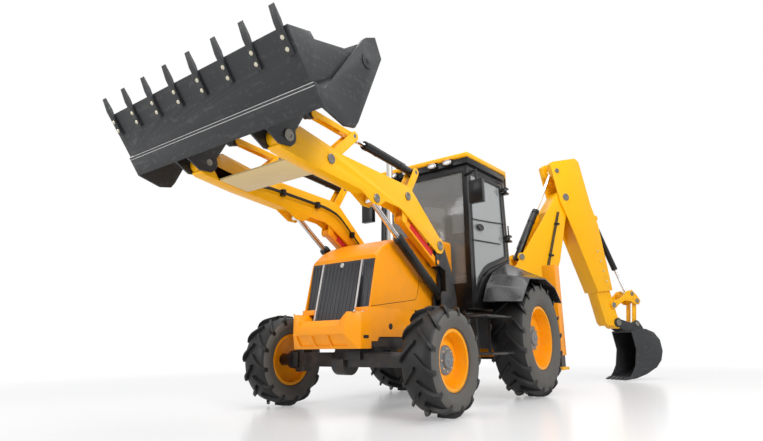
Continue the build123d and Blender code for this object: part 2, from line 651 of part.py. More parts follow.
tilt_length = gap(lever_top, crank_top)
tilt_stroke_out, tilt_stroke_in = 700.0, 18.0
tilt_barrel = tilt_length - tilt_stroke_in - 170
with BuildPart() as tilt_barrels:
    for side in (1, -1):
        disc(FRONT, lever_top, 40, *span(side, eye_in, eye_out))
        bar(FRONT, lever_top, crank_top, side * lane_mid, tilt_ram_r, 20, tilt_barrel)
        bar(FRONT, lever_top, crank_top, side * lane_mid, 32, 60, tilt_barrel - 40, mode=Mode.SUBTRACT)
        bar(FRONT, lever_top, crank_top, side * lane_mid, 22 + run_fit, 60, tilt_barrel + 10, mode=Mode.SUBTRACT)
        disc(FRONT, lever_top, 22 + run_fit, *span(side, lane_in, lane_out), mode=Mode.SUBTRACT)
save(tilt_barrels.part, "tilt_barrels")

with BuildPart() as tilt_rods:
    for side in (1, -1):
        w = span(side, cheek_in + 6, cheek_out - 6)
        bar(FRONT, lever_top, crank_top, side * lane_mid, 22, 110, tilt_length - 62)
        neck = (crank_top[0] - 90, crank_top[1] - 90 * (crank_top[1] - lever_top[1]) / (crank_top[0] - lever_top[0]))
        plate(FRONT, strap(neck, crank_top, 20), *w)
        disc(FRONT, crank_top, 38, *w)
        disc(FRONT, crank_top, 20 + run_fit, *w, mode=Mode.SUBTRACT)
save(tilt_rods.part, "tilt_rods")

with BuildPart() as crank_pins:
    for side in (1, -1):
        disc(FRONT, crank_pivot, 30, *span(side, arm_in, arm_out))
save(crank_pins.part, "crank_pins")

with BuildPart() as bell_cranks:
    for side in (1, -1):
        for near, far in ((lane_in, lane_in + lever_plate), (lane_out - lever_plate, lane_out)):
            w = span(side, near, far)
            plate(FRONT, strap(crank_pivot, crank_top, 46), *w)
            disc(FRONT, crank_top, 46, *w)
            disc(FRONT, crank_pivot, 58, *w)
            disc(FRONT, crank_top, 20 + run_fit, *w, mode=Mode.SUBTRACT)
        disc(FRONT, crank_pivot, 38, *span(side, lane_in, lane_out))
        disc(FRONT, crank_pivot, 30 + run_fit, *span(side, lane_in, lane_out), mode=Mode.SUBTRACT)
save(bell_cranks.part, "bell_cranks")

with BuildPart() as crank_top_pins:
    for side in (1, -1):
        disc(FRONT, crank_top, 20, *span(side, lane_in, cheek_in + 1))
        disc(FRONT, crank_top, 20, *span(side, cheek_out - 1, lane_out))
save(crank_top_pins.part, "crank_top_pins")

link_length = gap(crank_top, bucket_ear)


def link_at(s):
    """s along the bucket link from the crank's top."""
    share = s / link_length
    return (crank_top[0] + share * (bucket_ear[0] - crank_top[0]), crank_top[1] + share * (bucket_ear[1] - crank_top[1]))


with BuildPart() as bucket_links:
    for side in (1, -1):
        for near, far in ((eye_in, cheek_in), (cheek_out, eye_out)):
            w = span(side, near, far)
            plate(FRONT, strap(crank_top, bucket_ear, 34, 18), *w)
            disc(FRONT, crank_top, 36, *w)
            disc(FRONT, bucket_ear, 34, *w)
            disc(FRONT, crank_top, 20 + run_fit, *w, mode=Mode.SUBTRACT)
        plate(FRONT, strap(link_at(130), link_at(link_length - 130), 34, -16), *span(side, eye_in, eye_out))
        disc(FRONT, bucket_ear, 20, *span(side, eye_in, eye_out))
save(bucket_links.part, "bucket_links")

with BuildPart() as bucket_pins:
    for side in (1, -1):
        disc(FRONT, bucket_pivot, 30, *span(side, 403, 590))
save(bucket_pins.part, "bucket_pins")

wall_in = (0.7063, 0.7084)     # from the back wall into the bucket
ear_span = (cheek_in + 6, cheek_out - 6)
with BuildPart() as loader_bucket:
    heel_in = (bucket_heel[0] + 4, bucket_heel[1] + 26)
    back_in = (bucket_back[0] + wall_in[0] * bucket_plate, bucket_back[1] + wall_in[1] * bucket_plate)
    plate(FRONT, [bucket_seam, (bucket_seam[0] - 22, bucket_seam[1] + 6), heel_in, back_in,
                  (bucket_brow[0] + 18, bucket_brow[1] - 8), bucket_brow, bucket_back, bucket_heel],
          -bucket_half, bucket_half)
    for side in (1, -1):
        plate(FRONT, [(3473, 2898), (3435, 2933), bucket_brow, bucket_back, (3533, 2194), (3569, 2141), (3682, 2119),
                      bucket_heel, bucket_seam, (3888, 2323)], *span(side, bucket_half - bucket_plate, bucket_half))
        disc(FRONT, clam_pivot, 62, *span(side, bucket_half, bucket_half + 12))
        disc(FRONT, clam_pivot, clam_pin_r, *span(side, bucket_half - 50, bucket_half + 18))
        for near, far in ((403, 423), (570, 590)):
            plate(FRONT, [(3600, 2160), (3640, 2120), (3760, 2110), (3899, 2190), (3420, 2668), (3400, 2620),
                          (3560, 2330), (3600, 2260)], *span(side, near, far))
            disc(FRONT, bucket_pivot, 82, *span(side, near, far))
            disc(FRONT, bucket_pivot, 30 + run_fit, *span(side, near, far), mode=Mode.SUBTRACT)
        plate(FRONT, [(bucket_ear[0] - 22, bucket_ear[1] - 26), (bucket_ear[0] + 60, bucket_ear[1] - 60),
                      (3560, 2520), (3380, 2700), (bucket_ear[0] - 8, bucket_ear[1] + 35)], *span(side, *ear_span))
        disc(FRONT, bucket_ear, 36, *span(side, *ear_span))
        disc(FRONT, bucket_ear, 20 + run_fit, *span(side, *ear_span), mode=Mode.SUBTRACT)
save(loader_bucket.part, "loader_bucket")

floor_len = gap(tooth_edge, bucket_seam)
floor_dir = ((tooth_edge[0] - bucket_seam[0]) / floor_len, (tooth_edge[1] - bucket_seam[1]) / floor_len)


def floor_point(s, t):
    """s beyond the cutting edge along the floor, t below the floor."""
    return (tooth_edge[0] + s * floor_dir[0] + t * floor_dir[1], tooth_edge[1] + s * floor_dir[1] - t * floor_dir[0])


clam_in, clam_out = bucket_half - bucket_plate - clear - 18, bucket_half - bucket_plate - clear
with BuildPart() as clam:
    plate(FRONT, [floor_point(0, 0), floor_point(-12, -20), floor_point(-floor_len + clear, -20),
                  floor_point(-floor_len + clear, 0)], -clam_out, clam_out)
    for side in (1, -1):
        w = span(side, clam_in, clam_out)
        plate(FRONT, [floor_point(0, 0), (4015, 2701), (3976, 2663), (3662, 2741), (3510, 2850), (3440, 2769),
                      (3400, 2710), (3430, 2697), (3760, 2470), floor_point(-floor_len + clear, -22),
                      floor_point(-floor_len + clear, 0)], *w)
        disc(FRONT, clam_pivot, 38, *w)
        disc(FRONT, clam_pivot, clam_pin_r + run_fit, *w, mode=Mode.SUBTRACT)
    for index in range(teeth):
        y = -1085 + 2170 / (teeth - 1) * index
        plate(FRONT, [floor_point(-190, 0), floor_point(-190, 22), floor_point(40, 26), floor_point(150, 6),
                      floor_point(150, 0), floor_point(45, -6), floor_point(0, 0)], y - 26, y + 26)
save(clam.part, "clam")

lift_length = gap(lift_foot, lift_top)
lift_barrel = lift_length - 430 - 90
with BuildPart() as lift_barrels:
    for side in (1, -1):
        disc(FRONT, lift_foot, 45, *span(side, eye_in, eye_out))
        bar(FRONT, lift_foot, lift_top, side * lane_mid, 30, 30, 120)
        bar(FRONT, lift_foot, lift_top, side * lane_mid, lift_ram_r, 105, lift_barrel)
        bar(FRONT, lift_foot, lift_top, side * lane_mid, 38, 125, lift_barrel - 40, mode=Mode.SUBTRACT)
        bar(FRONT, lift_foot, lift_top, side * lane_mid, 28 + run_fit, 125, lift_barrel + 10, mode=Mode.SUBTRACT)
        disc(FRONT, lift_foot, 25 + run_fit, *span(side, lane_in, lane_out), mode=Mode.SUBTRACT)
save(lift_barrels.part, "lift_barrels")

with BuildPart() as lift_rods:
    for side in (1, -1):
        bar(FRONT, lift_foot, lift_top, side * lane_mid, 28, 560, lift_length - 20)
        disc(FRONT, lift_top, 45, *span(side, eye_in, eye_out))
        disc(FRONT, lift_top, 25 + run_fit, *span(side, eye_in, eye_out), mode=Mode.SUBTRACT)
save(lift_rods.part, "lift_rods")

# ================================================================ excavator
with BuildPart() as slew_carriage:
    box(-1130, -1050 - slip, -290, 290, 420, 1090)
    box(-1130, -1000, -290, 290, 1080 + slip, 1115)
    box(-1130, -1000, -290, 290, 395, 430 - slip)
    for z0, z1 in ((905, 965), (355, 415)):
        box(slew_x, -1100, -90, 90, z0, z1)
        with BuildSketch(Plane.XY.offset(z0)) as lug_face:
            with Locations((slew_x, 0)):
                Circle(90)
        extrude(lug_face.sketch, amount=z1 - z0)
        with BuildSketch(Plane.XY.offset(z0)) as lug_bore:
            with Locations((slew_x, 0)):
                Circle(45 + run_fit)
        extrude(lug_bore.sketch, amount=z1 - z0, mode=Mode.SUBTRACT)
save(slew_carriage.part, "slew_carriage")

with BuildPart() as kingpost:
    plate(HOE, [(-75, 420), (-75, 900), (75, 900), (330, 760), (330, 560), (560, 470), (560, 360), (420, 340),
                (200, 420)], -100, 100)
    with BuildSketch(Plane.XY.offset(345)) as post:
        with Locations((slew_x, 0)):
            Circle(45)
    extrude(post.sketch, amount=640)
    plate(HOE, [(395, 320), (620, 320), (620, 560), (395, 560)], -65, 65, mode=Mode.SUBTRACT)
    disc(HOE, boom_ram_foot, 30, -100, 100)
    disc(HOE, boom_foot, 45, -boom_half, boom_half)
save(kingpost.part, "kingpost")

boom_back = gap((323.0, 1861.0), (1235.0, 3080.0))


def back_point(s, t):
    """s along the boom's upper back, t into the boom."""
    e = ((1235.0 - 323.0) / boom_back, (3080.0 - 1861.0) / boom_back)
    return (323.0 + s * e[0] + t * e[1], 1861.0 + s * e[1] - t * e[0])


with BuildPart() as boom:
    boom_edge = [(130, 600), (125, 740), (172, 920), (192, 1010), (192, 1100), (165, 1350), (205, 1690), (323, 1861),
                 (1235, 3080), (1349, 3098),
                 (1455, 3010), (1450, 2930), (1374, 2790), (1135, 1904), (960, 1500), (700, 1050), (385, 600),
                 (250, 520)]
    plate(HOE, boom_edge, -boom_half, boom_half)
    inside = boom_half - boom_skin
    plate(HOE, [(0, 400), (0, 1060), (214, 1110), (225, 1640), (300, 1720), back_point(0, 118), back_point(930, 118),
                back_point(1070, 26), (1190, 2880), (1300, 2760), (1110, 1960), (1150, 1880), (980, 1480),
                (720, 1030), (420, 400)], -inside, inside, mode=Mode.SUBTRACT)
    plate(HOE, [back_point(-80, -90), back_point(1060, -90), back_point(1060, 2), back_point(930, 98),
                back_point(-20, 98), back_point(-90, 50)], -inside, inside, mode=Mode.SUBTRACT)
    disc(HOE, boom_foot, 45 + run_fit, -boom_half, boom_half, mode=Mode.SUBTRACT)
    for near, far in ((-boom_half, -inside), (inside, boom_half)):
        disc(HOE, dipper_ram_foot, 66, near, far)
    disc(HOE, dipper_ram_foot, 28, -inside, inside)
    for near, far in ((-boom_half, -boom_half + boom_skin), (boom_half - boom_skin, boom_half)):
        disc(HOE, boom_top, 45 + run_fit, near - 1, far + 1, mode=Mode.SUBTRACT)
    disc(HOE, boom_top, 45 + run_fit, -boom_half, boom_half, mode=Mode.SUBTRACT)
save(boom.part, "boom")


def slide_point(s, t):
    """s up the dipper from its mouth, t out from the middle of the slide (away from the cab)."""
    return (slide_mouth[0] - s * slide_dir[0] - t * slide_dir[1], slide_mouth[1] - s * slide_dir[1] + t * slide_dir[0])


channel = slide_depth / 2 + clear
with BuildPart() as dipper:
    dipper_edge = [(1837, 1420), (1359, 2625), (1223, 2917), (1088, 3542), (1140, 3590), (1622, 3706), (1700, 3650),
                   (1873, 2893), (1989, 2562), (2152, 1455)]
    plate(HOE, dipper_edge, -dipper_half, dipper_half)
    plate(HOE, [slide_point(90, -channel), slide_point(1520, -channel), slide_point(1520, channel),
                slide_point(90, channel)], -slide_half - clear, slide_half + clear, mode=Mode.SUBTRACT)
    pad = slide_depth / 2 + slip
    plate(HOE, [slide_point(-60, -pad), slide_point(91, -pad), slide_point(91, pad), slide_point(-60, pad)],
          -slide_half - slip, slide_half + slip, mode=Mode.SUBTRACT)
    fork = boom_half + 6
    plate(HOE, [(960, 3500), (1400, 3160), (1480, 3145), (1485, 2990), (1530, 2240), (1500, 2180), (960, 2300)],
          -fork, fork, mode=Mode.SUBTRACT)
    plate(HOE, [(900, 3050), (1230, 3050), (1350, 3380), (1350, 3520), (1290, 3600), (1230, 3680), (1100, 3760),
                (900, 3760)],
          -60, 60, mode=Mode.SUBTRACT)
    disc(HOE, boom_top, 45, -dipper_half, dipper_half)
    plate(HOE, [slide_point(-60, pad - 10), slide_point(1420, pad - 10), slide_point(1420, 400), slide_point(-60, 400)],
          -slide_half + clear, slide_half - clear, mode=Mode.SUBTRACT)
save(dipper.part, "dipper")

with BuildPart() as dipper_extension:
    top, foot, half = 1490.0, -520.0, slide_depth / 2
    plate(HOE, [slide_point(top, -half), slide_point(top, half), slide_point(foot, half), slide_point(foot - 50, 0),
                slide_point(foot - 30, -half + 30), slide_point(foot + 40, -half)], -slide_half, slide_half)
    disc(HOE, hoe_pivot, 95, -slide_half, slide_half)
    disc(HOE, hoe_pivot, 35, -slide_half - 25, slide_half + 25)
    disc(HOE, tip_pivot, 30, -slide_half - 25, slide_half + 25)
    for near, far in ((-slide_half + 10, -58), (58, slide_half - 10)):
        plate(HOE, [slide_point(1330, half - 2), slide_point(1255, 345), slide_point(1165, 345),
                    slide_point(1120, half - 2)], near, far)
        disc(HOE, hoe_ram_foot, 50, near, far)
    disc(HOE, hoe_ram_foot, 28, -slide_half + 10, slide_half - 10)
save(dipper_extension.part, "dipper_extension")

with BuildPart() as hoe_bucket:
    bowl = [(2400, 788), (2560, 818), (2720, 822), (2890, 765), (3010, 640), (3040, 458), (2985, 310), (2866, 200),
            (2620, 95), (2378, 35), (2230, 22)]
    hollow = [(2406, 767), (2562, 797), (2716, 801), (2878, 747), (2991, 631), (3019, 460), (2967, 322),
              (2854, 218), (2612, 116), (2376, 56), (2230, 40)]
    with BuildSketch(sheet(HOE, -hoe_bucket_half)) as shell:
        with BuildLine():
            Polyline(*bowl, *reversed(hollow), close=True)
        make_face()
    extrude(shell.sketch, amount=2 * hoe_bucket_half)
    for near, far in ((-hoe_bucket_half, -hoe_bucket_half + 18), (hoe_bucket_half - 18, hoe_bucket_half)):
        plate(HOE, [*bowl, (2330, 120), (2409, 238), (2467, 493)], near, far)
    for near, far in ((-slide_half - 25, -slide_half - clear), (slide_half + clear, slide_half + 25)):
        plate(HOE, [(2180, 870), (2260, 850), (2410, 775), (2560, 805), (2720, 810), (2790, 800), (2690, 940),
                    (2640, 962), (2500, 925), (2290, 980)], near, far)
        disc(HOE, hoe_pivot, 75, near, far)
        disc(HOE, hoe_ear, 60, near, far)
        disc(HOE, hoe_pivot, 35 + run_fit, near, far, mode=Mode.SUBTRACT)
    for index in range(5):
        w = -180 + 90 * index
        plate(HOE, [(2420, 40), (2378, 35), (2230, 22), (2160, 14), (2150, 26), (2230, 62), (2400, 75)],
              w - 28, w + 28)
save(hoe_bucket.part, "hoe_bucket")

with BuildPart() as tipping_lever:
    arch = [(2120, 1230), (2140, 1170), (2215, 1165), (2300, 1232), (2420, 1292), (2560, 1285), (2640, 1240),
            (2740, 1230), (2780, 1300), (2700, 1400), (2610, 1475), (2500, 1455), (2385, 1358), (2330, 1332),
            (2195, 1285)]
    for near, far in ((-slide_half - 25, -slide_half - clear), (slide_half + clear, slide_half + 25)):
        plate(HOE, arch, near, far)
        disc(HOE, tip_pivot, 62, near, far)
        disc(HOE, tip_pivot, 30 + run_fit, near, far, mode=Mode.SUBTRACT)
        disc(HOE, tip_end, 30 + run_fit, near, far, mode=Mode.SUBTRACT)
    plate(HOE, [(2450, 1345), (2515, 1342), (2515, 1394), (2450, 1403)], -slide_half - clear, slide_half + clear)
save(tipping_lever.part, "tipping_lever")

with BuildPart() as tipping_link:
    for side in (-1, 1):
        near, far = span(side, 52, slide_half - 30)
        plate(HOE, strap(tip_end, hoe_ear, 42), near, far)
        disc(HOE, tip_end, 56, near, far)
        disc(HOE, hoe_ear, 42, near, far)
    disc(HOE, tip_end, 30, -slide_half - 25, slide_half + 25)
    disc(HOE, hoe_ear, 22, -slide_half + 30, slide_half - 30)
save(tipping_link.part, "tipping_link")


def ram(name, foot, head, foot_pin, head_pin, barrel_r, rod_r, barrel, rod_start, eye_half):
    """A ram in the excavator's plane: a bored barrel and its rod, each with an eye."""
    length = gap(foot, head)
    with BuildPart() as cylinder:
        disc(HOE, foot, foot_pin + 22, -eye_half, eye_half)
        bar(HOE, foot, head, 0, barrel_r, foot_pin + 8, barrel)
        bar(HOE, foot, head, 0, barrel_r - 12, foot_pin + 40, barrel - 45, mode=Mode.SUBTRACT)
        bar(HOE, foot, head, 0, rod_r + run_fit, foot_pin + 40, barrel + 10, mode=Mode.SUBTRACT)
        disc(HOE, foot, foot_pin + run_fit, -eye_half - barrel_r, eye_half + barrel_r, mode=Mode.SUBTRACT)
    save(cylinder.part, f"{name}_ram_barrel")
    with BuildPart() as rod:
        bar(HOE, foot, head, 0, rod_r, rod_start, length - 20)
        disc(HOE, head, head_pin + 22, -eye_half, eye_half)
        disc(HOE, head, head_pin + run_fit, -eye_half, eye_half, mode=Mode.SUBTRACT)
    save(rod.part, f"{name}_ram_rod")


ram("boom", boom_ram_foot, boom_ram_top, 30, 30, 58, 32, 590, 520, 54)
ram("dipper", dipper_ram_foot, dipper_tail, 28, 28, 52, 30, 930, 740, 40)
ram("bucket", hoe_ram_foot, tip_ram, 28, 28, 48, 27, 950, 440, 44)
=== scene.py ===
"""Looks of the backhoe loader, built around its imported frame."""
import json
from math import cos, hypot, pi, radians, sin

import bpy
from mathutils import Matrix, Vector


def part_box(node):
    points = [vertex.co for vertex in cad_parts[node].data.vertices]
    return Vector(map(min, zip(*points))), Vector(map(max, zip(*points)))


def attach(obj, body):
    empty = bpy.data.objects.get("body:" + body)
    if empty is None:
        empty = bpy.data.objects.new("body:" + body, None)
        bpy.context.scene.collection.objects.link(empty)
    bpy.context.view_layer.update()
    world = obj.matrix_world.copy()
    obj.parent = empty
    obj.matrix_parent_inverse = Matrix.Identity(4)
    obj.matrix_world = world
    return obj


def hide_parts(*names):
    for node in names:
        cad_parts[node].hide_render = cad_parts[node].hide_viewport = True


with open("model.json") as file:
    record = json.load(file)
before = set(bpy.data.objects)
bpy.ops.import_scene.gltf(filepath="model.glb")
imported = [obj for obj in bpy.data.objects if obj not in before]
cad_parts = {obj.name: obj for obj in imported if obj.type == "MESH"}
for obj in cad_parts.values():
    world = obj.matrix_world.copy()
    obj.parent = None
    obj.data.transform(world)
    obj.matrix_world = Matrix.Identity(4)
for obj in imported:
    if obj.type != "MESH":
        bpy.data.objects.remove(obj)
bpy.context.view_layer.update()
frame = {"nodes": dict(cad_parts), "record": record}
nodes = frame["nodes"]
joints = {joint["name"]: joint for joint in frame["record"]["behaviour"]["joints"]}
home = {node: body for body, members in frame["record"]["behaviour"]["bodies"].items() for node in members}

# ---------------------------------------------------------------- camera
heading, climb, roll = radians(216.5823), radians(13.0746), radians(-0.8226)
picture_width, focal_length, shift_down = 763, 529.2576, 2.32
toward = Vector((cos(climb) * cos(heading), cos(climb) * sin(heading), sin(climb)))
level = Vector((sin(heading), -cos(heading), 0))
upward = level.cross(toward)
right = level * cos(roll) + upward * sin(roll)
top = upward * cos(roll) - level * sin(roll)
bpy.ops.object.camera_add(location=(6.31985, 3.43508, 0.60793))
camera = bpy.context.object
camera.name = "camera"
camera.rotation_euler = Matrix((right, top, -toward)).transposed().to_euler()
camera.data.sensor_width = 36
camera.data.lens = focal_length / picture_width * camera.data.sensor_width
camera.data.shift_y = shift_down / picture_width
camera.data.clip_end = 200
bpy.context.scene.camera = camera
bpy.context.scene.view_settings.view_transform = "Standard"


def deselect():
    bpy.ops.object.select_all(action="DESELECT")


def only(piece):
    """Make this the one selected and active object."""
    deselect()
    piece.select_set(True)
    bpy.context.view_layer.objects.active = piece
    return piece


def settle(piece):
    """Put the piece's place, turn and size into its mesh."""
    only(piece)
    bpy.ops.object.transform_apply(location=True, rotation=True, scale=True)
    return piece


def complete(piece, material, body, edge=0.0, rounds=2, smooth=32):
    """Break the edges, smooth the shading, give the finish and hang the piece on its body."""
    only(piece)
    if edge:
        bevel = piece.modifiers.new("edge", "BEVEL")
        bevel.width, bevel.segments = edge, rounds
        bevel.limit_method, bevel.angle_limit = "ANGLE", radians(34)
        bpy.ops.object.modifier_apply(modifier="edge")
    bpy.ops.object.shade_smooth_by_angle(angle=radians(smooth))
    piece.data.name = piece.name
    piece.data.materials.clear()
    piece.data.materials.append(material)
    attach(piece, body)
    return piece


def outward():
    """Merge doubles and turn all faces outwards, in edit mode."""
    bpy.ops.mesh.select_all(action="SELECT")
    bpy.ops.mesh.remove_doubles(threshold=0.00002)
    bpy.ops.mesh.normals_make_consistent(inside=False)
    bpy.ops.object.mode_set(mode="OBJECT")


def chain(name, points, closed=False, fill="NOTHING"):
    """A run of edges through the points."""
    if len(points) == 2:
        points = [points[0], (Vector(points[0]) + Vector(points[1])) / 2, points[1]]
    deselect()
    bpy.ops.mesh.primitive_circle_add(vertices=len(points), fill_type=fill)
    piece = bpy.context.object
    piece.name = name
    for vertex, point in zip(piece.data.vertices, points):
        vertex.co = point
    if not closed:
        ends = {0, len(points) - 1}
        for part in (*piece.data.vertices, *piece.data.edges):
            part.select = False
        closing = next(edge for edge in piece.data.edges if set(edge.vertices) == ends)
        closing.select = True
        bpy.ops.object.mode_set(mode="EDIT")
        bpy.ops.mesh.select_mode(type="EDGE")
        bpy.ops.mesh.delete(type="EDGE")
        bpy.ops.mesh.select_mode(type="VERT")
        bpy.ops.object.mode_set(mode="OBJECT")
    return piece


def plate(name, points, place, near, far):
    """Flat shape cut from sheet: the outline at one offset, drawn out to the other."""
    piece = chain(name, [place(a, b, near) for a, b in points], closed=True, fill="NGON")
    bpy.ops.object.mode_set(mode="EDIT")
    bpy.ops.mesh.select_all(action="SELECT")
    bpy.ops.mesh.extrude_region_move(TRANSFORM_OT_translate={"value": place(0, 0, far) - place(0, 0, near)})
    outward()
    return piece


def turned(name, foot, direction, stations, steps=28, closed=False):
    """Lathe work: (distance, radius) stations spun about the direction from the foot."""
    direction = Vector(direction).normalized()
    side = direction.orthogonal().normalized()
    piece = chain(name, [Vector(foot) + direction * s + side * r for s, r in stations], closed=closed)
    bpy.ops.object.mode_set(mode="EDIT")
    bpy.ops.mesh.select_all(action="SELECT")
    bpy.ops.mesh.spin(steps=steps, angle=2 * pi, center=foot, axis=direction)
    outward()
    return piece


def pipe(name, route, radius, bend=0.03):
    """Bent steel tube along a route, with its corners rounded."""
    piece = chain(name, route)
    bpy.ops.object.mode_set(mode="EDIT")
    bpy.ops.mesh.select_all(action="SELECT")
    bpy.ops.mesh.bevel(affect="VERTICES", offset=bend, segments=5)
    bpy.ops.object.mode_set(mode="OBJECT")
    bpy.ops.object.convert(target="CURVE")
    piece = bpy.context.object
    piece.data.bevel_depth = radius
    piece.data.bevel_resolution = 3
    piece.data.use_fill_caps = True
    bpy.ops.object.convert(target="MESH")
    piece = bpy.context.object
    bpy.ops.object.mode_set(mode="EDIT")
    outward()
    return piece


def block(name, low, high, cuts=0):
    """Box between two corners, cut into equal strips each way for shaping."""
    deselect()
    bpy.ops.mesh.primitive_cube_add(size=1, location=(Vector(low) + Vector(high)) / 2)
    piece = bpy.context.object
    piece.name = name
    piece.scale = Vector(high) - Vector(low)
    settle(piece)
    if cuts:
        bpy.ops.object.mode_set(mode="EDIT")
        bpy.ops.mesh.subdivide(number_cuts=cuts)
        bpy.ops.object.mode_set(mode="OBJECT")
    return piece


def shaped(piece, bend):
    """Move every vertex to where the bend sends it."""
    for vertex in piece.data.vertices:
        vertex.co = bend(vertex.co)
    only(piece)
    bpy.ops.object.mode_set(mode="EDIT")
    outward()
    return piece


def joined(name, pieces):
    deselect()
    for piece in pieces:
        piece.select_set(True)
    bpy.context.view_layer.objects.active = pieces[0]
    if len(pieces) > 1:
        bpy.ops.object.join()
    made = settle(bpy.context.object)
    made.name = name
    return made


def repeat(name, model, places):
    """Copies of a small piece, upright at the origin, set at each point and direction."""
    copies = []
    for point, direction in places:
        only(model)
        bpy.ops.object.duplicate()
        made = bpy.context.object
        made.rotation_euler = Vector(direction).to_track_quat("Z", "Y").to_euler()
        made.location = point
        copies.append(made)
    bpy.data.objects.remove(model)
    return joined(name, copies)


# ---------------------------------------------------------------- shader maths
class Wire:
    """A number running through a material, added to and multiplied as a plain number is."""

    def __init__(self, finish, socket):
        self.finish, self.socket = finish, socket

    def sum(self, operation, *others):
        return self.finish.sum(operation, self, *others)

    def __add__(self, other):
        return self.sum("ADD", other)

    __radd__ = __add__

    def __mul__(self, other):
        return self.sum("MULTIPLY", other)

    __rmul__ = __mul__

    def __sub__(self, other):
        return self.sum("SUBTRACT", other)

    def __rsub__(self, other):
        return self.finish.sum("SUBTRACT", other, self)

    def __pow__(self, other):
        return self.sum("POWER", other)

    def above(self, edge, soft):
        """0 below the edge, 1 above it, over a soft step."""
        return self.finish.sum("MULTIPLY", (self - (edge - soft)), 0.5 / soft).clip()

    def clip(self):
        return self.finish.wire("ShaderNodeClamp", Value=self)


class Finish:
    """A material under construction: one principled surface and what feeds it."""

    def __init__(self, name, colour, roughness=0.5, metallic=0.0, **surface):
        self.material = bpy.data.materials.new(name)
        self.material.use_nodes = True
        self.material.diffuse_color = (*colour, 1)
        self.tree = self.material.node_tree
        self.surface = next(n for n in self.tree.nodes if n.type == "BSDF_PRINCIPLED")
        self.colour, self.roughness = colour, roughness
        self.surface.inputs["Metallic"].default_value = metallic
        for socket, value in surface.items():
            self.surface.inputs[socket.replace("_", " ")].default_value = value

    def feed(self, socket, value):
        if isinstance(value, Wire):
            self.tree.links.new(value.socket, socket)
        elif isinstance(value, tuple) and len(value) == 3 and socket.type == "RGBA":
            socket.default_value = (*value, 1)
        else:
            socket.default_value = value

    def node(self, kind, settings=None, **inputs):
        made = self.tree.nodes.new(kind)
        for name, value in (settings or {}).items():
            setattr(made, name, value)
        for name, value in inputs.items():
            self.feed(made.inputs[name.replace("_", " ")], value)
        return made

    def wire(self, kind, settings=None, output=0, **inputs):
        return Wire(self, self.node(kind, settings, **inputs).outputs[output])

    def sum(self, operation, *terms):
        made = self.node("ShaderNodeMath", {"operation": operation})
        for socket, term in zip(made.inputs, terms):
            self.feed(socket, term)
        return Wire(self, made.outputs[0])

    def place(self, scale=(1, 1, 1), turn=(0, 0, 0)):
        where = Wire(self, self.node("ShaderNodeTexCoord").outputs["Object"])
        return self.wire("ShaderNodeMapping", Vector=where, Scale=scale, Rotation=turn)

    def noise(self, scale, detail=3.0, stretch=(1, 1, 1), turn=(0, 0, 0), **more):
        return self.wire("ShaderNodeTexNoise", Vector=self.place(stretch, turn), Scale=scale, Detail=detail,
                         **more)

    def height(self):
        where = Wire(self, self.node("ShaderNodeTexCoord").outputs["Object"])
        split = self.node("ShaderNodeSeparateXYZ", Vector=where)
        return Wire(self, split.outputs["Z"])

    def blend(self, factor, first, second):
        made = self.node("ShaderNodeMix", {"data_type": "RGBA"})
        self.feed(made.inputs[0], factor)
        self.feed(made.inputs[6], first)
        self.feed(made.inputs[7], second)
        return Wire(self, made.outputs[2])

    def bump(self, height, strength, distance=0.002):
        self.feed(self.surface.inputs["Normal"], self.wire("ShaderNodeBump", Height=height, Strength=strength,
                                                           Distance=distance))

    def done(self, colour=None, roughness=None):
        self.feed(self.surface.inputs["Base Color"], colour or self.colour)
        self.feed(self.surface.inputs["Roughness"], self.roughness if roughness is None else roughness)
        return self.material


def tone(red, green, blue):
    """Linear colour from 0-255 screen values."""
    return tuple((c / 255 / 12.92) if c <= 10 else ((c / 255 + 0.055) / 1.055) ** 2.4 for c in (red, green, blue))


def enamel(name, colour, shade, roughness=0.36, coat=0.1, dust=0.07):
    """Sprayed machine paint: slight clouding, road dust low down, faint wipe marks and orange peel."""
    paint = Finish(name, colour, roughness, Coat_Weight=coat, Coat_Roughness=0.12, Specular_IOR_Level=0.26)
    cloud = paint.noise(1.7, 4).above(0.52, 0.25)
    grime = paint.noise(9, 6).above(0.56, 0.16) * (1 - paint.height() * 0.42).clip()
    wipes = paint.noise(60, 3, stretch=(0.08, 1, 0.9))
    speckle = paint.noise(240, 2).above(0.73, 0.03)
    body = paint.blend(cloud * 0.5, colour, shade)
    body = paint.blend(grime * dust * 2, body, tone(150, 128, 96))
    body = paint.blend(speckle * 0.3, body, tone(90, 74, 48))
    paint.bump(paint.noise(420, 2) + wipes * 0.3, 0.06)
    return paint.done(body, grime * 0.25 + wipes * 0.12 + (roughness - 0.07))


def worn_steel(name, colour, bare, roughness=0.42, wear=0.5, metallic=0.25):
    """Dark painted steel rubbed by soil: long scratches, dull patches and a grey bloom."""
    steel = Finish(name, colour, roughness, metallic=metallic, Specular_IOR_Level=0.5)
    along = steel.noise(26, 5, stretch=(0.12, 1, 1))
    across = steel.noise(34, 4, stretch=(1, 0.1, 1), turn=(0.3, 0, 0.2))
    scratches = (along * across).above(0.33, 0.035)
    bloom = steel.noise(2.6, 5).above(0.5, 0.2)
    body = steel.blend(bloom * 0.45, colour, bare)
    body = steel.blend(scratches * wear, body, tone(128, 128, 126))
    steel.bump(steel.noise(160, 4) + scratches * 0.4, 0.12)
    return steel.done(body, bloom * 0.16 + scratches * -0.1 + roughness)


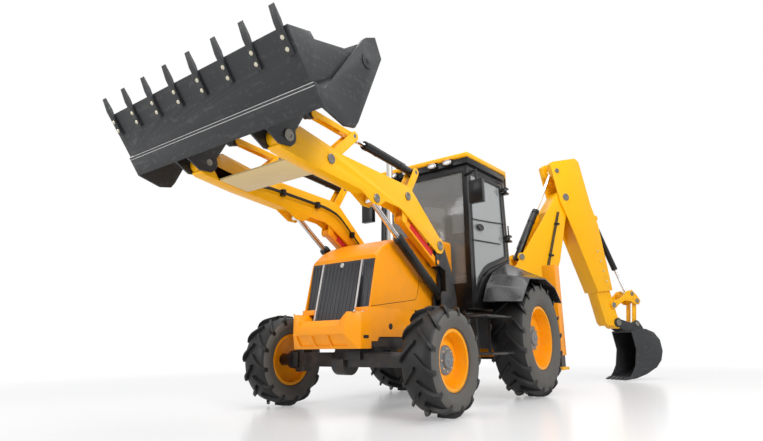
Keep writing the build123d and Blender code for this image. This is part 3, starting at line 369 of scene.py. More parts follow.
lemon = enamel("lemon_paint", tone(252, 184, 0), tone(248, 172, 0))
amber = enamel("amber_paint", tone(252, 158, 0), tone(246, 150, 0))
orange_rim = enamel("rim_paint", tone(250, 166, 4), tone(240, 148, 4), roughness=0.28)
frame_grey = enamel("chassis_paint", tone(44, 44, 46), tone(34, 34, 36), roughness=0.42, coat=0.15)
cab_black = enamel("cab_paint", tone(20, 21, 22), tone(16, 16, 17), roughness=0.32, coat=0.12, dust=0.02)
ram_black = enamel("ram_paint", tone(18, 18, 19), tone(14, 14, 15), roughness=0.3, coat=0.15, dust=0.03)
fender_gloss = enamel("fender_moulding", tone(38, 39, 41), tone(34, 35, 37), roughness=0.24, coat=0.22, dust=0.01)
bucket_grey = worn_steel("bucket_steel", tone(42, 43, 45), tone(54, 55, 56), wear=0.08)
tooth_steel = worn_steel("tooth_steel", tone(38, 38, 40), tone(96, 94, 90), wear=0.8, metallic=0.6)
pin_steel = worn_steel("pin_steel", tone(120, 116, 108), tone(150, 146, 138), roughness=0.3, metallic=0.85)
red_paint = enamel("safety_red", tone(214, 40, 34), tone(190, 30, 28))
silver_trim = enamel("silver_trim", tone(196, 196, 194), tone(176, 176, 174), roughness=0.25, coat=0.6, dust=0.05)
# Pale cream standing in for the white floor reflected in the yellow cross plate between the loader arms: a painted
# reflection, not the plate's own paint.
floor_reflection_tint = enamel("painted_floor_reflection", tone(222, 196, 140), tone(206, 180, 124), dust=0.2)


def rubber(name, colour, grain, roughness=0.72, dusty=0.3):
    """Moulded rubber with fine pits and a dry bloom."""
    skin = Finish(name, colour, roughness, Specular_IOR_Level=0.35)
    bloom = skin.noise(5, 5).above(0.52, 0.2)
    pits = skin.noise(180, 3)
    skin.bump(pits, grain)
    return skin.done(skin.blend(bloom * dusty, colour, tone(96, 90, 82)), bloom * 0.12 + roughness)


tread_rubber = rubber("tread_rubber", tone(20, 20, 21), 0.2, 0.45, 0.06)
wall_rubber = rubber("sidewall_rubber", tone(88, 86, 82), 0.2, 0.7, 0.14)
trim_rubber = rubber("seal_rubber", tone(18, 18, 19), 0.1, 0.55, 0.08)


def moulding(name, colour, roughness=0.45, grain=0.1):
    """Injection moulded plastic with a fine leather grain."""
    skin = Finish(name, colour, roughness, Specular_IOR_Level=0.4)
    cells = skin.wire("ShaderNodeTexVoronoi", Vector=skin.place(), Scale=260.0)
    haze = skin.noise(6, 4)
    skin.bump(cells, grain)
    return skin.done(skin.blend(haze.above(0.55, 0.2) * 0.2, colour, tuple(min(1, c * 1.7) for c in colour)),
                     haze * 0.15 + (roughness - 0.07))


grille_plastic = moulding("grille_plastic", tone(50, 52, 56), 0.38)
dark_plastic = moulding("dark_plastic", tone(28, 28, 30), 0.42)
sill_plastic = moulding("sill_plastic", tone(104, 108, 110), 0.34)


def plated(name, colour, roughness):
    """Hard chrome or polished steel with fine turning lines."""
    shine = Finish(name, colour, roughness, metallic=1.0)
    lines = shine.noise(300, 2, stretch=(1, 1, 0.15))
    haze = shine.noise(4, 3)
    shine.bump(lines, 0.03)
    return shine.done(shine.blend(haze * 0.3, colour, tuple(c * 0.8 for c in colour)), haze * 0.12 + roughness)


chrome = plated("hard_chrome", (0.86, 0.86, 0.87), 0.08)
exhaust_steel = plated("exhaust_steel", (0.55, 0.53, 0.5), 0.25)
zinc = plated("zinc_bolts", (0.62, 0.58, 0.46), 0.3)


def pane(name, colour, alpha, roughness=0.04):
    """Tinted cab glass with a faint dusty film."""
    glass = Finish(name, colour, roughness, Coat_Weight=0.6, Coat_Roughness=0.03, Specular_IOR_Level=0.6)
    film = glass.noise(3, 5).above(0.5, 0.3)
    glass.feed(glass.surface.inputs["Alpha"], film * 0.06 + alpha)
    return glass.done(glass.blend(film * 0.4, colour, tone(150, 154, 154)), film * 0.06 + roughness)


door_tint = pane("door_glass_tint", tone(148, 152, 150), 0.86)
screen_tint = pane("windscreen_tint", tone(132, 136, 134), 0.5)


def cloth(name, colour, thread):
    """Woven seat cloth: two crossed thread waves."""
    weave = Finish(name, colour, 0.85, Sheen_Weight=0.3)
    warp = weave.wire("ShaderNodeTexWave", {"wave_type": "BANDS", "bands_direction": "Y"}, output=1,
                      Vector=weave.place(), Scale=150.0, Distortion=0.4)
    weft = weave.wire("ShaderNodeTexWave", {"wave_type": "BANDS", "bands_direction": "Z"}, output=1,
                      Vector=weave.place(), Scale=150.0, Distortion=0.4)
    weave.bump(warp * weft, 0.3, 0.001)
    patches = weave.noise(12, 3).above(0.5, 0.2)
    return weave.done(weave.blend(patches * 0.3 + warp * 0.15, colour, thread), 0.85)


seat_cloth = cloth("seat_cloth", tone(170, 52, 24), tone(90, 24, 14))
engine_iron = worn_steel("engine_iron", tone(64, 62, 58), tone(86, 82, 74), 0.5, 0.3, 0.4)



# ---------------------------------------------------------------- floor and light
def studio(material_or_world, surface, white, output, factor=None):
    """Show plain white where the eye, a reflection or glass looks, and the lit surface everywhere else."""
    tree = material_or_world.node_tree
    rays = tree.nodes.new("ShaderNodeLightPath")
    seen = rays.outputs["Is Camera Ray"]
    for ray in ("Is Glossy Ray", "Is Transmission Ray"):
        either = tree.nodes.new("ShaderNodeMath")
        either.operation = "MAXIMUM"
        tree.links.new(seen, either.inputs[0])
        tree.links.new(rays.outputs[ray], either.inputs[1])
        seen = either.outputs[0]
    if factor is not None:
        share = tree.nodes.new("ShaderNodeMath")
        share.operation = "MULTIPLY"
        tree.links.new(seen, share.inputs[0])
        tree.links.new(factor, share.inputs[1])
        seen = share.outputs[0]
    pick = tree.nodes.new("ShaderNodeMixShader")
    tree.links.new(seen, pick.inputs[0])
    tree.links.new(surface, pick.inputs[1])
    tree.links.new(white, pick.inputs[2])
    tree.links.new(pick.outputs[0], output)


floor_finish = Finish("studio_floor", (0.86, 0.86, 0.86), 0.22, Specular_IOR_Level=0.6)
spot = floor_finish.place(scale=(0.105, 0.105, 1))
away = floor_finish.wire("ShaderNodeVectorMath", {"operation": "LENGTH"}, output=1, Vector=spot)
rim_light = (away * away * 0.75 + 0.25).clip()
floor_finish.done(floor_finish.blend(floor_finish.noise(0.4, 2) * 0.03, (0.86, 0.86, 0.86), (0.84, 0.84, 0.85)))
glow = floor_finish.node("ShaderNodeEmission", Color=(1.0, 1.0, 1.0), Strength=1.0)
studio(floor_finish.material, floor_finish.surface.outputs[0], glow.outputs[0],
       next(n for n in floor_finish.tree.nodes if n.type == "OUTPUT_MATERIAL").inputs[0], rim_light.socket)
deselect()
bpy.ops.mesh.primitive_plane_add(size=160, location=(0, 0, -0.001))
floor = bpy.context.object
floor.name = "studio_floor"
bpy.ops.object.mode_set(mode="EDIT")
bpy.ops.mesh.subdivide(number_cuts=3)
bpy.ops.object.mode_set(mode="OBJECT")
floor.data.materials.append(floor_finish.material)
settle(floor)

world = bpy.data.worlds.new("studio")
bpy.context.scene.world = world
world.use_nodes = True
sky = world.node_tree
ground = next(n for n in sky.nodes if n.type == "BACKGROUND")
ground.inputs["Color"].default_value = (0.93, 0.95, 1.0, 1)
ground.inputs["Strength"].default_value = 0.42
white = sky.nodes.new("ShaderNodeBackground")
white.inputs["Color"].default_value = (1, 1, 1, 1)
studio(world, ground.outputs[0], white.outputs[0],
       next(n for n in sky.nodes if n.type == "OUTPUT_WORLD").inputs[0])


def softbox(name, place, aim, size, energy):
    deselect()
    bpy.ops.object.light_add(type="AREA", location=place)
    lamp = bpy.context.object
    lamp.name = name
    lamp.data.shape = "DISK"
    lamp.data.size = size
    lamp.data.energy = energy
    lamp.rotation_euler = (Vector(place) - Vector(aim)).to_track_quat("Z", "Y").to_euler()


softbox("overhead", (1.5, 1.0, 9.5), (0.5, 0, 1), 8.0, 560)
softbox("key", (5.0, 9.0, 6.5), (0.5, 0, 1.5), 5.0, 620)
softbox("front_fill", (11.0, -3.0, 4.0), (2, 0, 1.5), 5.0, 260)

# ---------------------------------------------------------------- dressed steelwork

def dress(node, material, edge=0.004, sharp=34):
    """The steelwork of one body with its plate edges broken, as a grinder leaves them."""
    deselect()
    only(nodes[node])
    bpy.ops.object.duplicate()
    piece = bpy.context.object
    for key in list(piece.keys()):
        del piece[key]
    piece.parent = None
    piece.name = node + "_steelwork"
    piece.data.name = piece.name
    bpy.ops.object.mode_set(mode="EDIT")
    bpy.ops.mesh.select_all(action="SELECT")
    bpy.ops.mesh.remove_doubles(threshold=0.00002)
    bpy.ops.mesh.dissolve_limited(angle_limit=radians(0.8))
    bpy.ops.object.mode_set(mode="OBJECT")
    if edge:
        bevel = piece.modifiers.new("edge", "BEVEL")
        bevel.width, bevel.segments = edge, 2
        bevel.limit_method, bevel.angle_limit = "ANGLE", radians(sharp)
        bpy.ops.object.modifier_apply(modifier="edge")
    bpy.ops.object.shade_smooth_by_angle(angle=radians(30))
    piece.data.materials.clear()
    piece.data.materials.append(material)
    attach(piece, home[node])
    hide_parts(node)
    return piece


finishes = {
    lemon: ("loader_arms", "levelling_levers", "bell_cranks", "bucket_links", "boom", "dipper", "dipper_extension",
            "tipping_lever", "tipping_link", "cab_roof"),
    amber: ("hood", "bumper", "rear_frame", "kingpost", "levelling_links"),
    frame_grey: ("chassis_frame", "front_axle", "rear_axle", "knuckle_left", "knuckle_right", "steps",
                 "stabiliser_left", "stabiliser_right", "slew_carriage"),
    cab_black: ("cab_frame", "door_left", "door_right"),
    ram_black: ("tilt_barrels", "lift_barrels", "boom_ram_barrel", "dipper_ram_barrel", "bucket_ram_barrel"),
    chrome: ("tilt_rods", "lift_rods", "boom_ram_rod", "dipper_ram_rod", "bucket_ram_rod"),
    exhaust_steel: ("exhaust",),
    pin_steel: ("tilt_pins", "crank_pins", "crank_top_pins", "bucket_pins"),
    fender_gloss: ("fenders",),
    bucket_grey: ("loader_bucket", "clam", "hoe_bucket"),
    engine_iron: ("engine",),
    grille_plastic: ("grille",),
    screen_tint: ("cab_glass",),
    door_tint: ("door_left_glass", "door_right_glass"),
    orange_rim: ("front_left_rim", "front_right_rim", "rear_left_rim", "rear_right_rim"),
}
made = {}
for material, members in finishes.items():
    for node in members:
        thin = node.endswith("glass") or node.endswith("pins") or material is chrome
        made[node] = dress(node, material, edge=0.0 if thin else (0.0015 if node.endswith("tyre") else 0.004))

# ---------------------------------------------------------------- where things are
ram_lane = 0.4965                     # offset of the loader's rams from the centre plane
hoe_turn, hoe_x = radians(31), -1.3   # the digging arm's turn, and its kingpost


def front(a, b, w):
    """Point of the loader's side view: forward, up, and out to the left."""
    return Vector((a, w, b))


def hoe(a, b, w):
    """Point of the excavator's side view, turned about the kingpost."""
    return Vector((hoe_x - a * cos(hoe_turn) + w * sin(hoe_turn), a * sin(hoe_turn) + w * cos(hoe_turn), b))


def nose_x(z):
    return 2.332 + (1.469 - z) * 0.234


def cab_side(x, z):
    """How far out the cab's side lies."""
    share = (z - 1.01) / 1.735
    run = (0.862 - x) / 1.012
    return (0.652 + 0.048 * run) * (1 - share) + (0.64 + 0.036 * run) * share


def paint(piece, finish, chosen):
    """Give a second finish to the faces whose middle is chosen."""
    piece.data.materials.append(finish)
    for face in piece.data.polygons:
        if chosen(face.center, face.normal):
            face.material_index = len(piece.data.materials) - 1


def add(piece, material, node, edge=0.0, rounds=2, smooth=32):
    """Finish a new piece and hang it on the body that holds the node."""
    return complete(piece, material, home[node], edge, rounds, smooth)


paint(made["cab_roof"], cab_black, lambda at, normal: at.z < 2.8256 and normal.z < 0.5)
# The cross plate between the arms gets the cream painted floor reflection in place of the arms' yellow.
paint(made["loader_arms"], floor_reflection_tint, lambda at, normal: abs(at.y) < 0.40 and 3.22 < at.x < 3.55)
paint(made["grille"], silver_trim, lambda at, normal: 0.2385 < abs(at.y) < 0.2635 and normal.x > 0.2)
for hand in ("left", "right"):
    paint(made["stabiliser_" + hand], lemon, lambda at, normal: at.z < 0.31)

# ---------------------------------------------------------------- tyres and rims
def tyre(name, lugs, half, outer, rim, height, lean):
    """Carcass with ringed walls, and leaning lugs that wrap over both shoulders."""
    node = name + "_tyre"
    low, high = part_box(node)
    centre = (Vector(low) + Vector(high)) / 2
    crown = outer - height
    wall = [(0.70, rim + 0.004), (0.83, rim + 0.012), (0.90, rim + 0.034), (0.93, rim + 0.040),
            (0.955, rim + 0.075),
            (0.975, rim + 0.080), (0.985, rim + 0.5 * (crown - rim)), (0.955, rim + 0.72 * (crown - rim)),
            (0.93, rim + 0.75 * (crown - rim)), (0.88, crown - 0.030), (0.74, crown - 0.012),
            (0.40, crown - 0.003)]
    profile = [(-half * s, r) for s, r in wall] + [(half * s, r) for s, r in reversed(wall)]
    carcass = turned(name + "_carcass", centre, (0, 1, 0), profile, steps=72, closed=True)
    add(carcass, wall_rubber, node, smooth=34)
    paint(carcass, tread_rubber, lambda at, normal: hypot(at.x - centre.x, at.z - centre.z) > crown - 0.034)
    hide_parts(node)
    bars = []
    for side in (1, -1):
        def wrap(at):
            across, along, tall = at.x, at.y, at.z
            reach = half * (0.02 + 0.965 * across)
            fall = crown - 0.004 - 0.060 * max(0.0, across - 0.62) ** 1.6 / 0.21
            top = outer - 0.001 - 0.046 * max(0.0, across - 0.70) ** 1.6 / 0.145
            radius = fall - 0.006 + (top - fall + 0.006) * tall
            angle = lean * across + (along - 0.5) * (0.30 + 0.12 * across) * (1.0 - 0.2 * tall) * 3.1 / lugs
            return centre + Vector((sin(angle) * radius, side * reach, cos(angle) * radius))
        bar = block(name + "_lug", (0, 0, 0), (1, 1, 1), cuts=5)
        shaped(bar, wrap)
        for index in range(lugs):
            turn = 2 * pi * (index + (0.5 if side < 0 else 0.0)) / lugs
            only(bar)
            bpy.ops.object.duplicate()
            copy = bpy.context.object
            shaped(copy, lambda at: centre + Matrix.Rotation(turn, 3, "Y") @ (at - centre))
            bars.append(copy)
        bpy.data.objects.remove(bar)
    tread = joined(name + "_tread", bars)
    add(tread, tread_rubber, node, edge=0.005, smooth=40)
    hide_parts(node)


# axle: lugs a side, half width, radius over the lugs, radius of the bead, lug height, lean of a lug
tyre_sizes = {"front": (13, 0.163, 0.478, 0.268, 0.030, 0.36), "rear": (17, 0.212, 0.675, 0.370, 0.034, 0.34)}
for axle, sizes in tyre_sizes.items():
    for hand in ("left", "right"):
        tyre(f"{axle}_{hand}", *sizes)

for name, x, z, ring, face, hub, bolts in (("front", 2.17, 0.478, 0.098, 1.0255, 0.066, 8),
                                           ("rear", 0.0, 0.675, 0.135, 0.9785, 0.084, 10)):
    for hand, side in (("left", 1), ("right", -1)):
        node = f"{name}_{hand}_rim"
        collar = [(0.0, hub + 0.062), (0.010, hub + 0.060), (0.016, hub + 0.048), (0.018, hub + 0.008),
                  (0.034, hub + 0.004), (0.040, hub - 0.006), (0.040, 0.03), (0.046, 0.024), (0.048, 0.0)]
        plate_hub = turned(node + "_hub", (x, side * face, z), (0, side, 0), [(0.0, 0.0)] + collar, steps=40)
        add(plate_hub, sill_plastic, node, smooth=30)
        bolt = turned(node + "_bolts", (0, 0, 0), (0, 0, 1), [(0, 0), (0, 0.011), (0.012, 0.011), (0.014, 0.008),
                                                               (0.022, 0.007), (0.022, 0)], steps=6)
        around = [(2 * pi * k / bolts, ring) for k in range(bolts)]
        add(repeat(node + "_bolts", bolt, [((x + r * cos(a), side * (face + 0.010), z + r * sin(a)), (0, side, 0))
                                           for a, r in around]), zinc, node, smooth=20)

# ---------------------------------------------------------------- pin heads
def pin_head(name, at, out, radius):
    """Round head of a pin with a dished middle."""
    return turned(name, at, out, [(-0.002, 0.0), (-0.002, radius), (0.009, radius), (0.012, radius - 0.004),
                                  (0.012, radius * 0.5), (0.008, radius * 0.42), (0.008, 0.0)], steps=28)


# side view place, head radius and offset of each pin
loader_heads = {"loader_arms": ((1.395, 1.657, 0.052, 0.565), (2.0, 2.083, 0.044, 0.565), (2.524, 1.949, 0.044, 0.565),
                                (3.158, 2.159, 0.044, 0.565)),
                "loader_bucket": ((3.672, 2.201, 0.050, 0.590),)}
for node, rows in loader_heads.items():
    heads = [pin_head(f"{node}_head_{index}_{side}", front(x, z, side * w), (0, side, 0), radius)
             for index, (x, z, radius, w) in enumerate(rows) for side in (1, -1)]
    add(joined(node + "_pin_heads", heads), pin_steel, node, smooth=30)

across = hoe(0, 0, 1) - hoe(0, 0, 0)
hoe_heads = {"kingpost": ((0.25, 0.65, 0.060, 0.125),), "boom": ((0.388, 1.934, 0.050, 0.125),),
             "dipper": ((1.349, 2.988, 0.062, 0.153), (1.212, 3.436, 0.042, 0.153)),
             "tipping_lever": ((2.170, 1.214, 0.044, 0.125), (2.700, 1.290, 0.040, 0.125),
                               (2.600, 1.411, 0.034, 0.125)),
             "hoe_bucket": ((2.233, 0.925, 0.052, 0.125), (2.640, 0.905, 0.040, 0.125))}
for node, rows in hoe_heads.items():
    heads = [pin_head(f"{node}_head_{index}_{side}", hoe(r, z, side * w), across * side, radius)
             for index, (r, z, radius, w) in enumerate(rows) for side in (1, -1)]
    add(joined(node + "_pin_heads", heads), pin_steel, node, smooth=30)

# ---------------------------------------------------------------- ram glands and pipes
# body, side view, foot, eye, barrel and rod radius, bare rod, offset and sides
rams = (("tilt_barrels", front, (1.8, 2.395), (2.818, 2.477), 0.039, 0.022, 0.188, ram_lane, (1, -1)),
        ("lift_barrels", front, (1.32, 1.112), (2.524, 1.949), 0.048, 0.028, 0.52, ram_lane, (1, -1)),
        ("boom_ram_barrel", hoe, (0.480, 0.420), (0.900, 1.480), 0.055, 0.03, 0.55, 0.0, (1,)),
        ("dipper_ram_barrel", hoe, (0.388, 1.934), (1.212, 3.436), 0.055, 0.03, 0.783, 0.0, (1,)),
        ("bucket_ram_barrel", hoe, (2.010, 2.690), (2.600, 1.411), 0.044, 0.025, 0.459, 0.0, (1,)))
for node, place, foot, eye, radius, rod, bare, offset, sides in rams:
    length = hypot(eye[0] - foot[0], eye[1] - foot[1])
    glands, pipes = [], []
    for side in sides:
        start, end = place(*foot, side * offset), place(*eye, side * offset)
        along = (end - start).normalized()
        face = length - bare
        glands.append(turned(f"{node}_gland_{side}", start, along, [
            (face - 0.055, radius - 0.004), (face - 0.055, radius + 0.005), (face - 0.014, radius + 0.005),
            (face - 0.010, radius), (face + 0.001, radius - 0.001), (face + 0.003, rod + 0.006),
            (face + 0.003, rod + 0.001)], steps=32))
        up = (place(*foot, side * offset + 1) - start).cross(along).normalized()
        if up.z < 0:
            up = -up
        run = radius + 0.012
        pipes.append(pipe(f"{node}_pipe_{side}", [start + along * 0.13 + up * (radius - 0.004),
                                                  start + along * 0.13 + up * run,
                                                  start + along * (face - 0.075) + up * run,
                                                  start + along * (face - 0.075) + up * (radius - 0.004)],
                          0.006, 0.012))
        for share in (0.3, 0.75):
            at = start + along * (face * share)
            glands.append(turned(f"{node}_strap_{share}_{side}", at, along, [
                (-0.010, radius - 0.002), (-0.010, radius + 0.003), (0.010, radius + 0.003), (0.010, radius - 0.002)],
                steps=32))
    add(joined(node + "_glands", glands), ram_black, node, smooth=30)
    add(joined(node + "_pipes", pipes), ram_black, node, smooth=50)

# ---------------------------------------------------------------- loader
bolts = []
seam, edge_at = Vector((4.0, 0, 2.324)), Vector((4.228, 0, 2.648))
run = (edge_at - seam).normalized()
below = Vector((run.z, 0, -run.x))
bolt = turned("tooth_bolts", (0, 0, 0), (0, 0, 1), [(-0.003, 0), (-0.003, 0.017), (0.004, 0.017), (0.011, 0.010),
                                                   (0.012, 0)], steps=20)
add(repeat("tooth_bolts", bolt, [(edge_at + run * s + below * t + Vector((0, -1.085 + 0.31 * k, 0)), below)
                                 for k in range(8) for s, t in ((-0.145, 0.0235), (-0.065, 0.0245))]),
    zinc, "clam", smooth=30)
add(joined("bucket_seams", [pipe(f"bucket_seam_{k}", [seam + Vector((0, -1.164, 0)) + shift,
                                                      seam + Vector((0, 1.164, 0)) + shift], 0.003)
                            for k, shift in enumerate((Vector((0.0, 0, -0.001)), Vector((-0.013, 0, -0.019))))]),
    silver_trim, "loader_bucket", smooth=60)
heel, back = Vector((3.899, 0, 2.179)), Vector((3.238, 0, 2.838))
out = Vector((-0.7063, 0, -0.7084))
ribs = []
for y in (-0.78, 0.0, 0.78):
    ribs.append(plate(f"bucket_rib_{y}", [(heel.x - 0.10, heel.z + 0.10), (back.x + 0.10, back.z - 0.10),
                                          (back.x + 0.13 + out.x * 0.03, back.z - 0.13 + out.z * 0.03),
                                          (heel.x - 0.13 + out.x * 0.03, heel.z + 0.13 + out.z * 0.03)],
                      front, y - 0.006, y + 0.006))
add(joined("bucket_ribs", ribs), bucket_grey, "loader_bucket", edge=0.002)
struts = []
low, high = Vector((1.415, 0, 1.477)), Vector((2.04, 0, 1.843))
step = (high - low).normalized()
lift = Vector((-step.z, 0, step.x))
for side in (1, -1):
    a, b = low + step * 0.12 - lift * 0.014, low + step * 0.60 - lift * 0.014
    struts.append(plate(f"strut_{side}", [(a.x, a.z), (b.x, b.z), (b.x + lift.x * 0.07, b.z + lift.z * 0.07),
                                          (a.x + lift.x * 0.07, a.z + lift.z * 0.07)], front,
                        side * 0.457, side * 0.536))
add(joined("safety_struts", struts), red_paint, "levelling_links", edge=0.006, rounds=3)
arm_pipes = []
for side in (1, -1):
    for row, y in enumerate((0.408, 0.392)):
        arm_pipes.append(pipe(f"arm_pipe_{row}_{side}", [
            front(1.5, 1.70 - row * 0.02, side * y), front(1.95, 2.05 - row * 0.02, side * y),
            front(2.15, 2.10 - row * 0.02, side * y), front(3.0, 2.14 - row * 0.02, side * y),
            front(3.16, 2.12 - row * 0.02, side * y)], 0.009, 0.08))
    for x, z in ((1.72, 1.865), (2.3, 2.105), (2.8, 2.13)):
        arm_pipes.append(plate(f"arm_clip_{x}_{side}", [(x - 0.02, z - 0.045), (x + 0.02, z - 0.045),
                                                        (x + 0.02, z + 0.022), (x - 0.02, z + 0.022)], front,
                               side * 0.380, side * 0.4285))
add(joined("arm_pipes", arm_pipes), ram_black, "loader_arms", smooth=50)

# ---------------------------------------------------------------- hood, grille and bumper
seams = []
for side in (1, -1):
    w = side * 0.4152
    seams.append(pipe(f"hood_seam_{side}", [front(2.43, 0.966, w), front(1.66, 1.07, w), front(1.60, 1.27, w),
                                            front(1.598, 1.46, w)], 0.0025, 0.05))
    seams.append(pipe(f"hood_step_{side}", [front(0.92, 1.20, w), front(1.598, 1.27, w)], 0.0025))
add(joined("hood_seams", seams), trim_rubber, "hood", smooth=60)
nose = Vector((0.974, 0, 0.228))
lock_at = Vector((nose_x(1.39), 0, 1.39))
lock = [turned("grille_lock", lock_at, nose, [(0.0, 0.0), (0.0, 0.024), (0.010, 0.024), (0.014, 0.019),
                                              (0.014, 0.008), (0.010, 0.006), (0.010, 0)], steps=28)]
add(joined("grille_lock", lock), silver_trim, "grille")
plug_and_shade_pieces = []
for side in (1, -1):
    plug_and_shade_pieces.append(turned(f"skirt_plug_{side}", front(2.128, 0.787, side * 0.414), (0, side, 0),
                        [(0, 0), (0, 0.030), (0.004, 0.030), (0.007, 0.022), (0.005, 0.010), (0.005, 0)], steps=28))
    # A thin dark block flush with the skirt at the tie-down slot: painted shade standing in for the dark inside of the
    # hole.
    plug_and_shade_pieces.append(block(f"tie_slot_painted_shade_{side}", (2.470, side * 0.415 - 0.004, 0.676),
                       (2.545, side * 0.415 + 0.004, 0.704)))
add(joined("skirt_plugs_and_slot_shade", plug_and_shade_pieces), trim_rubber, "bumper", edge=0.002, rounds=1)
rows = [(x, y, 0.9102) for x in (2.515, 2.635) for y in (-0.385, 0.385)]
bolt = turned("bumper_bolts", (0, 0, 0), (0, 0, 1), [(0, 0), (0, 0.014), (0.009, 0.014), (0.011, 0.011), (0.011, 0)],
              steps=6)
add(repeat("bumper_bolts", bolt, [(row, (0, 0, 1)) for row in rows]), zinc, "bumper", smooth=20)

# ---------------------------------------------------------------- cab
def oval(name, at, along, radius, squash_to, depth):
    """Oval lamp: a bezel and a domed lens."""
    at = Vector(at)
    shell = turned(name, at, along, [(-0.004, 0), (-0.004, radius), (depth * 0.6, radius), (depth, radius - 0.006),
                                     (depth, radius - 0.013), (depth * 0.55, radius - 0.016), (depth * 0.55, 0)],
                   steps=36)
    return shaped(shell, lambda p: Vector((p.x, p.y, at.z + (p.z - at.z) * squash_to)))


def lens(name, at, along, radius, squash_to, depth):
    """Domed reflector behind an oval lamp's bezel."""
    at = Vector(at)
    dome = turned(name, at, along, [(0, 0), (0, radius), (depth * 0.5, radius * 0.9), (depth * 0.85, radius * 0.6),
                                    (depth, 0)], steps=36)
    return shaped(dome, lambda p: Vector((p.x, p.y, at.z + (p.z - at.z) * squash_to)))


roof_edge = [(0.859, -0.686), (0.859, 0.686), (-0.155, 0.724), (-0.705, 0.493), (-0.705, -0.493),
             (-0.155, -0.724)]
rim = plate("roof_rim", roof_edge, lambda a, b, w: Vector((a, b, w)), 2.818, 2.884)
add(rim, lemon, "cab_roof", edge=0.024, rounds=4)
# x, y, z and the way that each roof lamp looks
lamps = [(0.874, y, 2.790, 1) for y in (-0.41, -0.193, 0.193, 0.41)]
lamps += [(-0.70, y, 2.790, -1) for y in (-0.34, 0.34)]
add(joined("lamp_bezels", [oval(f"bezel_{k}", (x, y, z), (s, 0, 0), 0.060, 0.56, 0.014)
                           for k, (x, y, z, s) in enumerate(lamps)]), silver_trim, "cab_roof", smooth=40)
add(joined("lamp_lenses", [lens(f"lens_{k}", (x + s * 0.004, y, z), (s, 0, 0), 0.046, 0.56, 0.009)
                           for k, (x, y, z, s) in enumerate(lamps)]), chrome, "cab_roof", smooth=60)
for hand, side in (("left", 1), ("right", -1)):
    door = "door_" + hand
    strips = [pipe(f"{door}_split_{k}", [front(x, z, side * (cab_side(x, z) + 0.0015)) for x, z in run], 0.006)
              for k, run in enumerate((((0.752, 2.066), (0.3, 2.102), (-0.092, 2.145)),
                                       ((0.776, 1.810), (0.42, 1.832), (0.058, 1.853))))]
    add(joined(door + "_splits", strips), trim_rubber, door, smooth=60)
    grip = turned(door + "_handle", front(0.571, 1.991, side * (cab_side(0.571, 1.991) + 0.002)), (0, side, 0),
                  [(0, 0), (0, 0.050), (0.010, 0.050), (0.016, 0.042), (0.010, 0.028), (0.010, 0)], steps=32)
    shaped(grip, lambda p: Vector((0.571 + (p.x - 0.571) * 1.7, p.y, 1.991 + (p.z - 1.991) * 0.8)))
    add(grip, dark_plastic, door, smooth=40)
    glass = block("mirror_glass_" + hand, (0.861, side * 0.8 - 0.072, 2.225), (0.866, side * 0.8 + 0.072, 2.465))
    add(glass, chrome, "cab_frame", edge=0.002)
wheel_at = Vector((0.50, 0, 1.88))
lean_to = Vector((-0.55, 0, 0.835)).normalized()
grip_r, wheel_r = 0.014, 0.18
wheel = turned("steering_wheel", wheel_at, lean_to, [
    (grip_r * sin(2 * pi * k / 10), wheel_r + grip_r * cos(2 * pi * k / 10))
    for k in range(10)], steps=40, closed=True)
side_to = Vector((0, 1, 0))
up_to = lean_to.cross(side_to)
spokes = [pipe(f"spoke_{k}", [wheel_at - lean_to * 0.03, wheel_at + (side_to * cos(a) + up_to * sin(a)) * wheel_r],
               0.009) for k, a in enumerate((0.5, pi - 0.5, 1.5 * pi))]
column = pipe("steering_column", [wheel_at - lean_to * 0.02, Vector((0.72, 0, 1.52)), Vector((0.74, 0, 1.08))],
              0.032, 0.1)
add(joined("steering_wheel", [wheel, *spokes, column]), dark_plastic, "cab_frame", smooth=50)
console = [plate("console_0", [(0.80, 1.08), (0.62, 1.08), (0.60, 1.55), (0.70, 1.72), (0.80, 1.70)], front,
                 -0.22, 0.22)]
console.append(plate("side_console", [(-0.35, 1.08), (0.30, 1.08), (0.34, 1.50), (0.22, 1.60), (-0.35, 1.56)], front,
                     -0.50, -0.32))
add(joined("consoles", console), dark_plastic, "cab_frame", edge=0.02, rounds=3)
screen = block("console_screen", (0.02, -0.47, 1.62), (0.05, -0.31, 1.74))
add(screen, trim_rubber, "cab_frame", edge=0.008)


# ---------------------------------------------------------------- seat
def cushion(name, low, high, crown, seams_at):
    """Crowned cushion: sides that pull in between the corners, and sewn channels across it."""
    low, high = Vector(low), Vector(high)
    middle, size = (low + high) / 2, high - low
    thin = min(range(3), key=lambda axis: size[axis])
    long = max(range(3), key=lambda axis: size[axis] if axis != thin and axis != 1 else -1)
    pad = block(name, low, high, cuts=18)

    def swell(p):
        u = [(p[a] - middle[a]) / size[a] * 2 for a in range(3)]
        flat = [a for a in range(3) if a != thin]
        dome = (1 - u[flat[0]] ** 4) * (1 - u[flat[1]] ** 4)
        made = p.copy()
        dent = sum(0.010 * 2.718 ** (-((u[long] - s) / 0.06) ** 2) for s in seams_at)
        made[thin] = middle[thin] + (p[thin] - middle[thin]) * (0.62 + 0.38 * dome) + (
            (crown * dome - dent * dome) if u[thin] > 0 else 0)
        for a in flat:
            other = flat[1] if a == flat[0] else flat[0]
            made[a] = middle[a] + (p[a] - middle[a]) * (0.985 - 0.02 * (1 - u[other] ** 2))
        return made
    shaped(pad, swell)
    only(pad)
    rounder = pad.modifiers.new("round", "SUBSURF")
    rounder.levels = rounder.render_levels = 1
    bpy.ops.object.modifier_apply(modifier="round")
    return pad


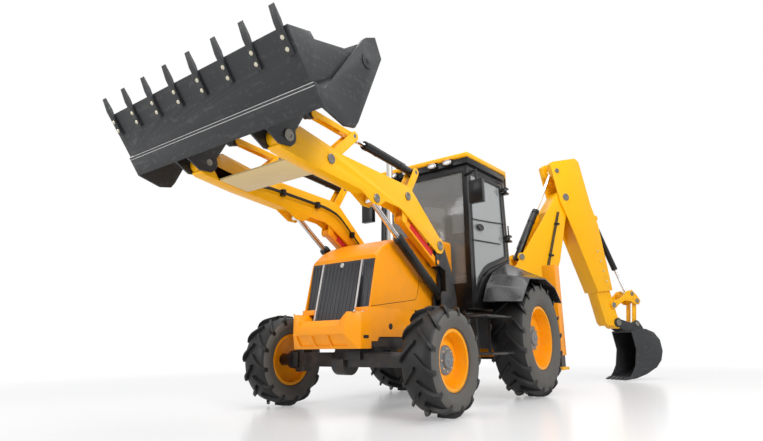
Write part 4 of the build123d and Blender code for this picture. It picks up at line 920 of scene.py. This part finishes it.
base = cushion("seat_cushion", (-0.14, -0.245, 1.385), (0.32, 0.245, 1.50), 0.022, (-0.45, 0.05, 0.55))
add(base, seat_cloth, "operator_seat", smooth=180)
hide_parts("operator_seat")
rest = cushion("seat_back_cushion", (-0.20, -0.235, 1.50), (-0.075, 0.235, 2.14), 0.018, (-0.5, 0.0, 0.5))
shaped(rest, lambda p: Vector((p.x + (1.62 - p.z) * 0.085, p.y, p.z)))
add(rest, seat_cloth, "operator_seat", smooth=180)
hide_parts("operator_seat")
stand = [plate("seat_stand", [(-0.10, 1.062), (0.28, 1.062), (0.24, 1.16), (0.20, 1.39), (-0.02, 1.39),
                              (-0.06, 1.16)], front, -0.17, 0.17)]
stand.append(plate("seat_shell", [(-0.235, 1.47), (-0.15, 1.40), (-0.125, 1.44), (-0.205, 2.10), (-0.235, 2.09)], front,
                   -0.22, 0.22))
seat_stand = add(joined("seat_stand", stand), dark_plastic, "operator_seat", edge=0.012, rounds=3)
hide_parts("operator_seat")

# ---------------------------------------------------------------- excavator
bolt = turned("dipper_bolts", (0, 0, 0), (0, 0, 1), [(0, 0), (0, 0.015), (0.010, 0.015), (0.012, 0.012), (0.012, 0)],
              steps=6)
places = []
for k in range(4):
    s = 0.15 + 0.17 * k
    r = 1.995 - 0.2504 * s + 0.9681 * 0.085
    z = 1.437 + 0.9681 * s + 0.2504 * 0.085
    places += [(hoe(r, z, side * 0.153), across * side) for side in (1, -1)]
add(repeat("dipper_bolts", bolt, places), zinc, "dipper", smooth=20)
boom_pipes = []
for side in (1, -1):
    for row in range(2):
        w = side * (0.138 + 0.002 * row)
        shift = 0.028 * row
        boom_pipes.append(pipe(f"boom_pipe_{side}_{row}", [hoe(0.47 + shift, 0.82, w), hoe(0.70 + shift, 1.30, w),
                                                           hoe(0.86 + shift, 1.80, w), hoe(1.16 + shift, 2.72, w)],
                               0.009, 0.10))
    for r, z in ((0.70, 1.26), (0.93, 1.97), (1.10, 2.50)):
        boom_pipes.append(plate(f"boom_clip_{side}_{r}", [(r - 0.02, z), (r + 0.07, z), (r + 0.07, z + 0.03),
                                                          (r - 0.02, z + 0.03)], hoe, side * 0.123, side * 0.152))
add(joined("boom_pipes", boom_pipes), ram_black, "boom", smooth=50)
